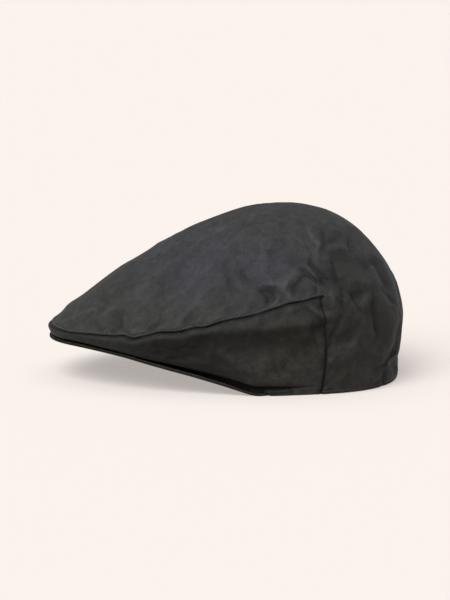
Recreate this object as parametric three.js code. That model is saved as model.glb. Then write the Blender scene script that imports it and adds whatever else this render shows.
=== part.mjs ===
// A flat cap of waxed cotton: a one-piece crown that runs down the back to the rim, a side panel
// on each side from the nose to the temple seam, and a stiff peak under the front.
// Millimetres. +Z is up, the peak points to -Y, and +X is the wearer's left.
import * as THREE from 'three';

// Plan ovals: each is a superellipse round its middle, squarer as its power grows
const EDGE_OVAL = {
  middleY: 8, halfWidth: 95, front: 171.2, back: 95.2, squareFront: 2.3, squareBack: 2.15,
};
const RIM_OVAL = {
  middleY: 11, halfWidth: 82, front: 109, back: 87.3, squareFront: 2.1, squareBack: 2.4,
};
const PEAK_OVAL = {
  middleY: 8, halfWidth: 87, front: 170, back: 88, squareFront: 2.3, squareBack: 2.1,
};

// The crown's highest point, and its cloth's thickness there and over how many rows it changes
const APEX = new THREE.Vector3(0, 13.4, 128.9);
const APEX_CLOTH = 1.8;
const APEX_CLOTH_ROWS = 5;

// Where the crown's seam lies between the apex at 0 and the widest edge at 1
const SEAM_PLACE = 0.985;

// Angles round the cap, in degrees from the nose
const TEMPLE_SEAM = 107.5;

// How far the temple seams bow towards the back at mid-height, in degrees, and over what width
const SEAM_BOW = 2.4;
const SEAM_BOW_WIDTH = 8;

// How fast the wall turns in below the widest edge
const WALL_CURVE = 2.2;

// Gaps between neighbouring panels, and between the body and the peak under it
const GAP = 0.3;
const TUCK_GAP = 0.45;

// Sections round the cap: the widest edge's height, the power and fall of the crown's curve,
// the height of the body's lower roll above the peak, the share of a section that sits on the
// peak, and the cloth's thickness
const SECTIONS = [
  { angle: 0, edgeZ: 38.0, power: 1.74, fall: 1.03, roll: 0.6, onPeak: 1, cloth: 1.0 },
  { angle: 19, edgeZ: 37.8, power: 1.83, fall: 1.05, roll: 0.6, onPeak: 1, cloth: 1.0 },
  { angle: 36, edgeZ: 38.4, power: 1.92, fall: 1.05, roll: 0.7, onPeak: 1, cloth: 1.0 },
  { angle: 53, edgeZ: 38.0, power: 1.99, fall: 0.93, roll: 1.0, onPeak: 1, cloth: 1.0 },
  { angle: 60, edgeZ: 39.2, power: 2.02, fall: 0.87, roll: 2.4, onPeak: 1, cloth: 1.0 },
  { angle: 66, edgeZ: 42.3, power: 2.05, fall: 0.82, roll: 3.4, onPeak: 1, cloth: 1.1 },
  { angle: 73, edgeZ: 46.8, power: 2.06, fall: 0.805, roll: 3.8, onPeak: 1, cloth: 1.2 },
  { angle: 80, edgeZ: 51.6, power: 2.07, fall: 0.79, roll: 4.3, onPeak: 1, cloth: 1.4 },
  { angle: 88, edgeZ: 58.2, power: 2.09, fall: 0.775, roll: 5.2, onPeak: 1, cloth: 1.7 },
  { angle: 98, edgeZ: 63.8, power: 2.1, fall: 0.76, roll: 4.5, onPeak: 0.35, cloth: 2.2 },
  { angle: 107.5, edgeZ: 67.2, power: 2.12, fall: 0.74, roll: 4.0, onPeak: 0, cloth: 2.6 },
  { angle: 125, edgeZ: 63.5, power: 2.14, fall: 0.71, roll: 4.0, onPeak: 0, cloth: 3.0 },
  { angle: 150, edgeZ: 52.5, power: 2.17, fall: 0.67, roll: 4.0, onPeak: 0, cloth: 3.0 },
  { angle: 180, edgeZ: 45.3, power: 2.22, fall: 0.606, roll: 4.0, onPeak: 0, cloth: 3.0 },
];

// Height of the peak's underside along its length
const PEAK_LINE = [
  { y: -163, z: 29.2 },
  { y: -144, z: 29.2 },
  { y: -133, z: 28.8 },
  { y: -118, z: 27.3 },
  { y: -101, z: 24.6 },
  { y: -85, z: 20.9 },
  { y: -70, z: 17.4 },
  { y: -50, z: 12.6 },
  { y: -29, z: 6.7 },
  { y: -18, z: 3.2 },
  { y: -11, z: 1.0 },
  { y: -5, z: 0.0 },
  { y: 4, z: 0.0 },
];
const PEAK_THICKNESS = 2.0;

// Folds and dents seen from the side, each along a straight line, on both sides of the cap.
// A plus height stands out and a minus height is pressed in.
const SIDE_FOLDS = [
  { name: 'corner dent', fromY: 27, fromZ: 91, toY: 43, toZ: 82, width: 6, height: -2.6 },
  { name: 'corner ridge', fromY: 21, fromZ: 83, toY: 37, toZ: 78, width: 5, height: 1.2 },
  { name: 'seam dent', fromY: -1, fromZ: 79, toY: 2, toZ: 72, width: 6, height: -1.6 },
  { name: 'front soft fold', fromY: -24, fromZ: 101, toY: -21, toZ: 74, width: 7, height: -1.3 },
  { name: 'middle soft fold', fromY: -2, fromZ: 100, toY: 0, toZ: 86, width: 7, height: 1.2 },
  { name: 'first back fold', fromY: 48, fromZ: 81, toY: 53, toZ: 49, width: 6, height: 1.6 },
  { name: 'back hollow', fromY: 58, fromZ: 77, toY: 71, toZ: 58, width: 7, height: -1.6 },
  { name: 'second back fold', fromY: 76, fromZ: 75, toY: 70, toZ: 57, width: 6, height: 1.0 },
  { name: 'low back fold', fromY: 58, fromZ: 30, toY: 74, toZ: 39, width: 6, height: 1.2 },
  { name: 'side shelf', fromY: 41, fromZ: 55, toY: -32, toZ: 48, width: 5, height: 1.2 },
  { name: 'front shelf', fromY: -32, fromZ: 48, toY: -82, toZ: 40, width: 5, height: 1.0 },
  { name: 'side hollow', fromY: 30, fromZ: 36, toY: -60, toZ: 31, width: 8, height: -1.4 },
];

// Folds seen from the back, where a dart on each side takes in the cloth above the rim
const BACK_FOLDS = [
  { name: 'dart', fromX: 57, fromZ: 0, toX: 31, toZ: 38, width: 6, height: -1.6 },
  { name: 'dart tip', fromX: 31, fromZ: 38, toX: 21, toZ: 66, width: 7, height: -1.0 },
  { name: 'dart ridge', fromX: 70, fromZ: 6, toX: 47, toZ: 40, width: 7, height: 1.0 },
];
const BACK_FOLDS_FROM_Y = 60;

// Rows of the grid from the apex down to the rim
const CROWN_ROWS = 10;
const CROWN_ROW_SPACING = 0.8;
const WALL_ROWS = 6;
const FLANGE_ROWS = 3;
const SEAM_ROW = CROWN_ROWS;
const EDGE_ROW = SEAM_ROW + 1;
const ROLL_ROW = EDGE_ROW + WALL_ROWS;
const TUCK_ROW = ROLL_ROW + 2;
const RIM_ROW = TUCK_ROW + FLANGE_ROWS;

// How far in from the peak's edge the body rolls under, as shares of the peak's depth
const ROLL_IN = 0.05;
const ROLL_UNDER_IN = 0.1;
const TUCK_IN = 0.2;

// Columns of the grid round one half of the cap
const FRONT_COLUMNS = 22;
const BACK_COLUMNS = 15;
const HALF_COLUMNS = FRONT_COLUMNS + BACK_COLUMNS;
const ALL_COLUMNS = HALF_COLUMNS * 2;

// Columns from the nose to each end of the peak, and how much its outer edge is rounded
const PEAK_COLUMNS = 18;
const PEAK_ROUNDING = 0.45;

// Smooth curve through one named column of a table
function alongTable(table, key, column, at) {
  const last = table.length - 1;
  const value = THREE.MathUtils.clamp(at, table[0][key], table[last][key]);
  let row = 0;
  while (row < last - 1 && value > table[row + 1][key]) {
    row += 1;
  }
  const slope = (k) => {
    if (k === 0 || k === last) {
      return 0;
    }
    const rise = table[k + 1][column] - table[k - 1][column];
    return rise / (table[k + 1][key] - table[k - 1][key]);
  };
  const span = table[row + 1][key] - table[row][key];
  const t = (value - table[row][key]) / span;
  const start = table[row][column] * (2 * t ** 3 - 3 * t ** 2 + 1);
  const end = table[row + 1][column] * (3 * t ** 2 - 2 * t ** 3);
  const leave = slope(row) * span * (t ** 3 - 2 * t ** 2 + t);
  const arrive = slope(row + 1) * span * (t ** 3 - t ** 2);
  return start + end + leave + arrive;
}

function section(angle, column) {
  return alongTable(SECTIONS, 'angle', column, Math.abs(angle));
}

// Share of a section that lies on the peak: 1 in front and 0 behind the temples
function peakShare(angle) {
  return THREE.MathUtils.clamp(section(angle, 'onPeak'), 0, 1);
}

// The peak's ends lie flat on the plane of the rim
function peakUnderside(y) {
  return Math.max(0, alongTable(PEAK_LINE, 'y', 'z', y));
}

function peakTop(y) {
  return peakUnderside(y) + PEAK_THICKNESS;
}

function signedPower(value, power) {
  return Math.sign(value) * Math.abs(value) ** power;
}

// Point of a plan oval at an angle in degrees from the nose, at height 0
function onOval(oval, angle) {
  const turn = THREE.MathUtils.degToRad(angle);
  const forward = Math.cos(turn) > 0;
  const square = forward ? oval.squareFront : oval.squareBack;
  const reach = forward ? oval.front : oval.back;
  const x = oval.halfWidth * signedPower(Math.sin(turn), 2 / square);
  const y = oval.middleY - reach * signedPower(Math.cos(turn), 2 / square);
  return new THREE.Vector3(x, y, 0);
}

function edgePoint(angle) {
  return onOval(EDGE_OVAL, angle).setZ(section(angle, 'edgeZ'));
}

// Point of the crown between the apex at 0 and the widest edge at 1
function crownPoint(angle, place) {
  const edge = edgePoint(angle);
  const fall = (1 - place ** section(angle, 'power')) ** section(angle, 'fall');
  const point = APEX.clone().lerp(edge, place);
  point.z = edge.z + (APEX.z - edge.z) * fall;
  return point;
}

// Point of a wall that turns in from the widest edge to its foot
function wallPoint(edge, foot, drop) {
  const inward = drop ** WALL_CURVE;
  const x = THREE.MathUtils.lerp(edge.x, foot.x, inward);
  const y = THREE.MathUtils.lerp(edge.y, foot.y, inward);
  const z = THREE.MathUtils.lerp(edge.z, foot.z, drop);
  return new THREE.Vector3(x, y, z);
}

// Point over the peak, a share of the way in from its edge to the rim
function overPeak(angle, share, lift) {
  const point = onOval(PEAK_OVAL, angle).lerp(onOval(RIM_OVAL, angle), share);
  return point.setZ(peakTop(point.y) + lift);
}

// Point of a front section, which rolls under above the peak and runs in to the rim
function frontPoint(angle, row) {
  const roll = section(angle, 'roll');
  if (row <= ROLL_ROW) {
    const foot = overPeak(angle, ROLL_IN, TUCK_GAP + roll);
    return wallPoint(edgePoint(angle), foot, (row - EDGE_ROW) / WALL_ROWS);
  }
  if (row < TUCK_ROW) {
    return overPeak(angle, ROLL_UNDER_IN, TUCK_GAP + roll * 0.35);
  }
  const run = (row - TUCK_ROW) / FLANGE_ROWS;
  return overPeak(angle, TUCK_IN + (1 - TUCK_IN) * run, TUCK_GAP);
}

// Point of a back section, whose wall runs straight down to the rim
function backPoint(angle, row) {
  const drop = (row - EDGE_ROW) / (RIM_ROW - EDGE_ROW);
  return wallPoint(edgePoint(angle), onOval(RIM_OVAL, angle), drop);
}

// Angle of a wall point once the temple seams bow back
function bowedAngle(angle, row) {
  const drop = (row - SEAM_ROW) / (RIM_ROW - SEAM_ROW);
  const fromSeam = (Math.abs(angle) - TEMPLE_SEAM) / SEAM_BOW_WIDTH;
  return angle + Math.sign(angle) * SEAM_BOW * Math.sin(Math.PI * drop) * Math.exp(-(fromSeam ** 2));
}

// Point of the cap's plain outer surface
function plainPoint(angle, row) {
  if (row <= SEAM_ROW) {
    return crownPoint(angle, SEAM_PLACE * (row / SEAM_ROW) ** CROWN_ROW_SPACING);
  }
  const turned = bowedAngle(angle, row);
  return backPoint(turned, row).lerp(frontPoint(turned, row), peakShare(turned));
}

// Angle of a column: 0 at the nose, a column on each temple seam, and 180 at the back
function columnAngle(column) {
  const side = column <= HALF_COLUMNS ? 1 : -1;
  const step = column <= HALF_COLUMNS ? column : ALL_COLUMNS - column;
  if (step <= FRONT_COLUMNS) {
    return side * TEMPLE_SEAM * step / FRONT_COLUMNS;
  }
  const past = (step - FRONT_COLUMNS) / BACK_COLUMNS;
  return side * (TEMPLE_SEAM + (180 - TEMPLE_SEAM) * past);
}

function wrapColumn(column) {
  return (column + ALL_COLUMNS) % ALL_COLUMNS;
}

// Height that one fold adds at a spot, from the spot's distance to the fold's line
function lineHeight(spot, from, to, fold) {
  const along = to.clone().sub(from);
  const share = spot.clone().sub(from).dot(along) / along.lengthSq();
  const nearest = from.clone().addScaledVector(along, THREE.MathUtils.clamp(share, 0, 1));
  return fold.height * Math.exp(-((spot.distanceTo(nearest) / fold.width) ** 2));
}

// Height of all folds together at a point of the plain surface
function foldHeight(point) {
  const sideways = Math.abs(point.x);
  const sideSpot = new THREE.Vector2(point.y, point.z);
  const backSpot = new THREE.Vector2(sideways, point.z);
  const onSide = THREE.MathUtils.smoothstep(sideways, 15, 45);
  const onBack = THREE.MathUtils.smoothstep(point.y, BACK_FOLDS_FROM_Y, BACK_FOLDS_FROM_Y + 20);
  let height = 0;
  for (const fold of SIDE_FOLDS) {
    const from = new THREE.Vector2(fold.fromY, fold.fromZ);
    const to = new THREE.Vector2(fold.toY, fold.toZ);
    height += onSide * lineHeight(sideSpot, from, to, fold);
  }
  for (const fold of BACK_FOLDS) {
    const from = new THREE.Vector2(fold.fromX, fold.fromZ);
    const to = new THREE.Vector2(fold.toX, fold.toZ);
    height += onBack * lineHeight(backSpot, from, to, fold);
  }
  return height;
}

// The whole outer surface as a grid of points, a list of rows for each column
function outerGrid(pointAt) {
  const grid = [];
  for (let column = 0; column < ALL_COLUMNS; column += 1) {
    const rows = [];
    for (let row = 0; row <= RIM_ROW; row += 1) {
      rows.push(pointAt(column, row));
    }
    grid.push(rows);
  }
  return grid;
}

// Outward direction at each grid point, from the points beside it
function gridNormals(grid) {
  return outerGrid((column, row) => {
    if (row === 0) {
      return new THREE.Vector3(0, 0, 1);
    }
    const before = grid[wrapColumn(column - 1)][row];
    const after = grid[wrapColumn(column + 1)][row];
    const here = grid[column][row];
    const above = grid[column][row - 1];
    const below = grid[column][Math.min(row + 1, RIM_ROW)];
    const up = above.clone().sub(here).normalize();
    if (row < RIM_ROW) {
      up.add(here.clone().sub(below).normalize());
    }
    return after.clone().sub(before).cross(up).normalize();
  });
}

// Thickness of the cloth at a grid point
function clothThickness(angle, row) {
  const share = Math.min(1, row / APEX_CLOTH_ROWS);
  return THREE.MathUtils.lerp(APEX_CLOTH, section(angle, 'cloth'), share);
}

// Inside surface: the outer one moved in by the cloth's thickness, flat at the rim's foot
function innerGrid(grid, normals) {
  return outerGrid((column, row) => {
    const angle = columnAngle(column);
    const here = grid[column][row];
    const inward = normals[column][row].clone().negate();
    if (row === RIM_ROW) {
      inward.z *= peakShare(angle);
      inward.normalize();
    }
    return here.clone().addScaledVector(inward, clothThickness(angle, row));
  });
}

// Closed mesh from lists of corner points, with equal corners shared
function solidFromFaces(faces) {
  const numbers = new Map();
  const positions = [];
  const indices = [];
  const numberOf = (point) => {
    const key = point.toArray().map((value) => value.toFixed(4)).join(' ');
    if (!numbers.has(key)) {
      numbers.set(key, numbers.size);
      positions.push(point.x, point.y, point.z);
    }
    return numbers.get(key);
  };
  for (const face of faces) {
    const corners = face.map(numberOf);
    for (let k = 1; k < corners.length - 1; k += 1) {
      const triangle = [corners[0], corners[k], corners[k + 1]];
      if (new Set(triangle).size === 3) {
        indices.push(...triangle);
      }
    }
  }
  const geometry = new THREE.BufferGeometry();
  geometry.setAttribute('position', new THREE.Float32BufferAttribute(positions, 3));
  geometry.setIndex(indices);
  geometry.computeVertexNormals();
  return geometry;
}

// Closed shell over the chosen cells of the grid, between its outer and inner points
function shellFaces(holds, columnCount, rowCount, outer, inner) {
  const faces = [];
  const wall = (columnA, rowA, columnB, rowB) => {
    faces.push([
      outer(columnA, rowA), outer(columnB, rowB), inner(columnB, rowB), inner(columnA, rowA),
    ]);
  };
  for (let column = 0; column < columnCount; column += 1) {
    for (let row = 0; row < rowCount; row += 1) {
      if (!holds(column, row)) {
        continue;
      }
      const ring = [
        [column, row], [column, row + 1], [column + 1, row + 1], [column + 1, row],
      ];
      faces.push(ring.map(([c, r]) => outer(c, r)));
      faces.push(ring.map(([c, r]) => inner(c, r)).reverse());
      if (!holds(column, row - 1)) {
        wall(column, row, column + 1, row);
      }
      if (!holds(column, row + 1)) {
        wall(column + 1, row + 1, column, row + 1);
      }
      if (!holds(column - 1, row)) {
        wall(column, row + 1, column, row);
      }
      if (!holds(column + 1, row)) {
        wall(column + 1, row, column + 1, row + 1);
      }
    }
  }
  return faces;
}

// Point moved a little towards another point
function nudged(point, towards, distance) {
  const way = towards.clone().sub(point).normalize();
  return point.clone().addScaledVector(way, distance);
}

// The folds stand on the plain surface, but not on the seams or where the body lies on the peak
const plainGrid = outerGrid((column, row) => plainPoint(columnAngle(column), row));
const plainNormals = gridNormals(plainGrid);
const outerSkin = outerGrid((column, row) => {
  const point = plainGrid[column][row];
  const held = row < ROLL_ROW - 1 ? 0 : peakShare(columnAngle(column));
  const stitched = row === SEAM_ROW || row === RIM_ROW;
  const height = stitched ? 0 : foldHeight(point) * (1 - held);
  return point.clone().addScaledVector(plainNormals[column][row], height);
});
const innerSkin = innerGrid(outerSkin, gridNormals(outerSkin));

// The crown covers the top all round, and the back from one temple seam to the other
function crownHolds(column, row) {
  const place = wrapColumn(column);
  const behindSeam = place >= FRONT_COLUMNS && place < ALL_COLUMNS - FRONT_COLUMNS;
  return row >= 0 && row < RIM_ROW && (row < SEAM_ROW || behindSeam);
}

function crownGeometry() {
  const outer = (column, row) => outerSkin[wrapColumn(column)][row];
  const inner = (column, row) => innerSkin[wrapColumn(column)][row];
  return solidFromFaces(shellFaces(crownHolds, ALL_COLUMNS, RIM_ROW, outer, inner));
}

// The left side panel lies below the crown's seam, from the nose to the temple seam
function panelHolds(column, row) {
  return column >= 0 && column < FRONT_COLUMNS && row >= SEAM_ROW && row < RIM_ROW;
}

// Panel points keep clear of the crown above and behind, and of the other panel at the nose
function panelPoint(skin, column, row) {
  let point = skin[column][row];
  if (row === SEAM_ROW) {
    point = nudged(point, skin[column][row + 1], GAP);
  }
  if (column === 0) {
    point = nudged(point, skin[column + 1][row], GAP / 2);
  }
  if (column === FRONT_COLUMNS) {
    point = nudged(point, skin[column - 1][row], GAP);
  }
  return point;
}

function leftPanelGeometry() {
  const outer = (column, row) => panelPoint(outerSkin, column, row);
  const inner = (column, row) => panelPoint(innerSkin, column, row);
  return solidFromFaces(shellFaces(panelHolds, FRONT_COLUMNS, RIM_ROW, outer, inner));
}

// The same shape on the other side of the cap, with its faces turned to point out again
function mirrored(geometry) {
  const copy = geometry.clone().scale(-1, 1, 1);
  const index = copy.getIndex();
  for (let k = 0; k < index.count; k += 3) {
    const second = index.getX(k + 1);
    index.setX(k + 1, index.getX(k + 2));
    index.setX(k + 2, second);
  }
  copy.computeVertexNormals();
  return copy;
}

// The peak: a stiff cloth-covered crescent from its edge in to the rim, on the panels' columns
function peakGeometry() {
  const columnCount = 2 * PEAK_COLUMNS;
  const shares = [0, ROLL_IN];
  for (let run = 0; run <= FLANGE_ROWS; run += 1) {
    shares.push(TUCK_IN + (1 - TUCK_IN) * run / FLANGE_ROWS);
  }
  const rowCount = shares.length - 1;
  const holds = (column, row) => (
    column >= 0 && column < columnCount && row >= 0 && row < rowCount
  );
  const rounding = (row) => (row === 0 ? PEAK_ROUNDING : 0);
  const angleOf = (column) => columnAngle(wrapColumn(PEAK_COLUMNS - column));
  const top = (column, row) => overPeak(angleOf(column), shares[row], -rounding(row));
  const under = (column, row) => {
    const point = top(column, row);
    return point.setZ(peakUnderside(point.y) + rounding(row));
  };
  return solidFromFaces(shellFaces(holds, columnCount, rowCount, top, under));
}

function cloth(colour, roughness) {
  return new THREE.MeshStandardMaterial({ color: colour, roughness, metalness: 0 });
}

function piece(name, geometry, material) {
  const mesh = new THREE.Mesh(geometry, material);
  mesh.name = name;
  return mesh;
}

const leftPanel = leftPanelGeometry();
const cap = new THREE.Group();
cap.name = 'flat_cap';
cap.add(piece('crown', crownGeometry(), cloth(0x46464a, 0.55)));
cap.add(piece('side_panel_left', leftPanel, cloth(0x2d2e2a, 0.6)));
cap.add(piece('side_panel_right', mirrored(leftPanel), cloth(0x2d2e2a, 0.6)));
cap.add(piece('peak', peakGeometry(), cloth(0x2a2a28, 0.6)));

// The origin is the middle of the underside of the cap's box
const box = new THREE.Box3().setFromObject(cap);
const middle = box.getCenter(new THREE.Vector3());
for (const mesh of cap.children) {
  mesh.position.set(-middle.x, -middle.y, -box.min.z);
}

export default cap;
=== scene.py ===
# %% [markdown]
# # A flat cap of waxed cotton
# The imported model gives plain walls in their true places. This lesson sews the cap's looks over them:
# a crown of one piece that runs down the back, a side panel on each side, and a stiff peak. We load the
# imported solids first, so that every piece we make can be set against them.

# %% The imported solids
import math

import bpy
import numpy as np
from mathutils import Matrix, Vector


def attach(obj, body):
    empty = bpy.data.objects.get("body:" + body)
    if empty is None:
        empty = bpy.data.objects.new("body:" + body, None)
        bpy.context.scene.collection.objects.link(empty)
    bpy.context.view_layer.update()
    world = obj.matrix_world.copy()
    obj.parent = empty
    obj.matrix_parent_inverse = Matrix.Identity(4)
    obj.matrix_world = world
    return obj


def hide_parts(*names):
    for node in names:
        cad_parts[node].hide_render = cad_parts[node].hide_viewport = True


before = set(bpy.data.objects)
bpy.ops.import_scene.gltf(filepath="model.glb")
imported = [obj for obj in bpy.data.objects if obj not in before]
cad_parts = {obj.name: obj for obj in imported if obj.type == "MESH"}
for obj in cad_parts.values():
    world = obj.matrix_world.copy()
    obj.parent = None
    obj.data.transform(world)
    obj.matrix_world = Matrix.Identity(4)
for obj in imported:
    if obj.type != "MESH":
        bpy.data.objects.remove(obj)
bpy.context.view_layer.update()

# %% [markdown]
# ## The cap's measures
# A cap maker works from a few measures: an oval for the widest edge, one for the rim at the head and
# one for the peak, and a row of sections round the cap. They are the same measures as the solids
# have, in millimetres, so the cloth lies where the solids are. The head's middle is the zero of
# these measures, and the part's zero is a little further forward, so all is moved back at the end.

# %% Measures of the cap, in millimetres
FORWARD_SHIFT = 30.0
MM = 0.001


def table(columns, rows):
    """A table's columns by name."""
    return dict(zip(columns.split(), np.array(rows, float).T))


EDGE_OVAL = dict(middle_y=8, half_width=95, front=171.2, back=95.2, square_front=2.3, square_back=2.15)
RIM_OVAL = dict(middle_y=11, half_width=82, front=109, back=87.3, square_front=2.1, square_back=2.4)
PEAK_OVAL = dict(middle_y=8, half_width=87, front=170, back=88, square_front=2.3, square_back=2.1)
APEX = np.array([0, 13.4, 128.9])
SEAM_PLACE = 0.985
TEMPLE_SEAM = 107.5

SECTIONS = table("angle edge_z power fall on_peak cloth", [
    (0, 38.0, 1.74, 1.03, 1, 1.0),
    (19, 37.8, 1.83, 1.05, 1, 1.0),
    (36, 38.4, 1.92, 1.05, 1, 1.0),
    (53, 38.0, 1.99, 0.93, 1, 1.0),
    (60, 39.2, 2.02, 0.87, 1, 1.0),
    (66, 42.3, 2.05, 0.82, 1, 1.1),
    (73, 46.8, 2.06, 0.805, 1, 1.2),
    (80, 51.6, 2.07, 0.79, 1, 1.4),
    (88, 58.2, 2.09, 0.775, 1, 1.7),
    (98, 63.8, 2.1, 0.76, 0.35, 2.2),
    (107.5, 67.2, 2.12, 0.74, 0, 2.6),
    (125, 63.5, 2.14, 0.71, 0, 3.0),
    (150, 52.5, 2.17, 0.67, 0, 3.0),
    (180, 45.3, 2.22, 0.606, 0, 3.0),
])

PEAK_LINE = table("y z", [
    (-163, 29.2), (-144, 29.2), (-133, 28.8), (-118, 27.3), (-101, 24.6), (-85, 20.9), (-70, 17.4),
    (-50, 12.6), (-29, 6.7), (-18, 3.2), (-11, 1.0), (-5, 0.0), (4, 0.0),
])
print(len(SECTIONS["angle"]), "sections round the cap")

# %% [markdown]
# ## The plain surface
# The sections are joined by smooth curves into one surface that runs from the top of the crown, over
# the widest edge and down the wall to the rim. A lattice or a sculpted mesh could give such a form
# too, but worked out in code it follows the measures exactly. Arrays of points keep it quick: each
# function below takes angles for all of the cap at once. Rows are numbered down the cap, from 0 at
# its top to 22 at the rim.

# %% Rows, and curves through the tables
SEAM_ROW = 10
EDGE_ROW = 11
ROLL_ROW = 17
TUCK_ROW = 19
RIM_ROW = 22
WALL_CURVE = 2.2


def along(columns, key, column, at):
    """A smooth curve through one column of a table."""
    x, y = columns[key], columns[column]
    slope = np.zeros(len(x))
    slope[1:-1] = (y[2:] - y[:-2]) / (x[2:] - x[:-2])
    at = np.clip(at, x[0], x[-1])
    row = np.clip(np.searchsorted(x, at) - 1, 0, len(x) - 2)
    span = x[row + 1] - x[row]
    t = (at - x[row]) / span
    value = y[row] * (2 * t**3 - 3 * t**2 + 1) + y[row + 1] * (3 * t**2 - 2 * t**3)
    value = value + slope[row] * span * (t**3 - 2 * t**2 + t)
    return value + slope[row + 1] * span * (t**3 - t**2)


def section(angle, column):
    """One measure of the section at an angle from the nose."""
    return along(SECTIONS, "angle", column, np.abs(angle))


def peak_share(angle):
    """How much of a section lies on the peak: 1 in front, 0 behind the temples."""
    return np.clip(section(angle, "on_peak"), 0, 1)


def peak_underside(y):
    """Height of the peak's underside."""
    return np.maximum(0, along(PEAK_LINE, "y", "z", y))


def smoothstep(value, low, high):
    """0 below low, 1 above high and a smooth rise between them."""
    t = np.clip((value - low) / (high - low), 0, 1)
    return t * t * (3 - 2 * t)


print("the peak's underside at the nose:", peak_underside(np.array([-163.0])).round(1), "mm")

# %% Ovals, the crown and the wall
def signed_power(value, power):
    """A power that keeps the sign of its value."""
    return np.sign(value) * np.abs(value) ** power


def blend(a, b, share):
    """Points between a and b, where share is 0 at a and 1 at b."""
    return a + (b - a) * np.asarray(share)[..., None]


def on_oval(oval, angle):
    """Points of a plan oval, at height 0."""
    turn = np.radians(angle)
    forward = np.cos(turn) > 0
    square = np.where(forward, oval["square_front"], oval["square_back"])
    reach = np.where(forward, oval["front"], oval["back"])
    x = oval["half_width"] * signed_power(np.sin(turn), 2 / square)
    y = oval["middle_y"] - reach * signed_power(np.cos(turn), 2 / square)
    return np.stack([x, y, np.zeros_like(x)], -1)


def edge_point(angle):
    """The cap's widest edge."""
    point = on_oval(EDGE_OVAL, angle)
    point[..., 2] = section(angle, "edge_z")
    return point


def crown_point(angle, place):
    """The crown between its top at 0 and the widest edge at 1."""
    edge = edge_point(angle)
    fall = np.maximum(0, 1 - place ** section(angle, "power")) ** section(angle, "fall")
    point = blend(APEX, edge, place)
    point[..., 2] = edge[..., 2] + (APEX[2] - edge[..., 2]) * fall
    return point


def wall_point(edge, foot, drop):
    """A wall that turns in from the widest edge to its foot."""
    point = blend(edge, foot, drop**WALL_CURVE)
    point[..., 2] = edge[..., 2] + (foot[..., 2] - edge[..., 2]) * drop
    return point


print("edge at the nose and the back, mm:", edge_point(np.array([0.0, 180.0])).round(1).tolist())

# %% [markdown]
# ## The roll above the peak, and the hem behind it
# Above the peak the side panel turns under in a crisp roll and runs in to the rim, where it is sewn
# down. Near the temples the roll stands open by nearly 5 mm, which gives the cap its dark slot, made
# black inside with painted shade. Behind the peak's end the same cloth comes down to the table and stands
# on it as a flat hem, low at first and soon at its full height. Each section is steered by a few whole
# rows, and a curve through them gives the rest. Modelling the slot by hand would be quicker, but here it
# stays true to the peak's slope.

# %% Roll, tuck and hem
ROLL_IN = 0.05
ROLL_UNDER_IN = 0.62
ROLL_UNDER_LIFT = 0.8
TUCK_IN = 0.78
TUCK_GAP = 0.3
SEWN_GAP = 0.04
PEAK_THICKNESS = 2.0
ROLL_OPEN = table("angle lift", [
    (0, 0.6), (36, 0.9), (53, 0.9), (60, 1.6), (66, 2.6), (73, 3.8), (80, 4.8), (88, 4.8),
    (98, 5.0), (107.5, 5.0),
])
HEM_HEIGHT = 5.0
HEM_START = 2.0
HEM_RISE = (88, 99)
HEM_OUT = 0.12
HEM_ANGLES = (85.5, 89.5)
JUST_INSIDE = 1e-6


def roll_open(angle):
    """How far the roll stands open above the peak."""
    return along(ROLL_OPEN, "angle", "lift", np.abs(angle))


def over_peak(angle, share, lift):
    """Points over the peak, a share of the way in from its edge to the rim."""
    point = blend(on_oval(PEAK_OVAL, angle), on_oval(RIM_OVAL, angle), share)
    point[..., 2] = peak_underside(point[..., 1]) + PEAK_THICKNESS + lift
    return point


def hem_height(angle):
    """Height of the flat band above the rim. It starts low at the peak's end and widens behind it."""
    return HEM_START + (HEM_HEIGHT - HEM_START) * smoothstep(np.abs(angle), *HEM_RISE)


def front_control(angle, row):
    """The wall, roll and tuck above the peak, at whole rows."""
    roll = roll_open(angle)
    wall = wall_point(edge_point(angle), over_peak(angle, ROLL_IN + 0 * angle, TUCK_GAP + roll),
                      np.clip((row - EDGE_ROW) / (ROLL_ROW - EDGE_ROW), 0, 1))
    under = over_peak(angle, ROLL_UNDER_IN + 0 * angle, TUCK_GAP + roll * ROLL_UNDER_LIFT)
    run = np.clip((row - TUCK_ROW) / (RIM_ROW - TUCK_ROW), 0, 1)
    tuck = over_peak(angle, TUCK_IN + (1 - TUCK_IN) * run, TUCK_GAP + (SEWN_GAP - TUCK_GAP) * run)
    hem = blend(on_oval(PEAK_OVAL, angle), on_oval(RIM_OVAL, angle), HEM_OUT + 0 * angle)
    hem[..., 2] = hem_height(angle) * (1 - run)
    tuck = blend(tuck, hem, smoothstep(np.abs(angle), *HEM_ANGLES))
    chosen = np.where((row < TUCK_ROW)[..., None], under, tuck)
    return np.where((row <= ROLL_ROW)[..., None], wall, chosen)


def front_point(angle, row):
    """A front section, smooth round the roll above the peak."""
    plain = front_control(angle, row)
    whole = np.floor(np.clip(row, ROLL_ROW, RIM_ROW - JUST_INSIDE))
    t = (row - whole)[..., None]
    before = front_control(angle, np.maximum(whole - 1, ROLL_ROW))
    start = front_control(angle, whole)
    end = front_control(angle, whole + 1)
    after = front_control(angle, np.minimum(whole + 2, RIM_ROW))
    curve = start + 0.5 * t * (end - before + t * (
        2 * before - 5 * start + 4 * end - after + t * (3 * (start - end) + after - before)))
    return np.where((row <= ROLL_ROW)[..., None], plain, curve)


print("the roll stands open by", roll_open(np.array([0.0, 60.0, 88.0])).round(1).tolist(), "mm")

# %% [markdown]
# ## The whole wall
# Behind the temples the wall is one plain curve from the widest edge to the rim. In front it is the
# roll and the tuck. The two are blended near the temple seam, with their rows at the same heights, so
# that no row runs up or down where they meet. The temple seam also bows back a little halfway down.

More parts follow.
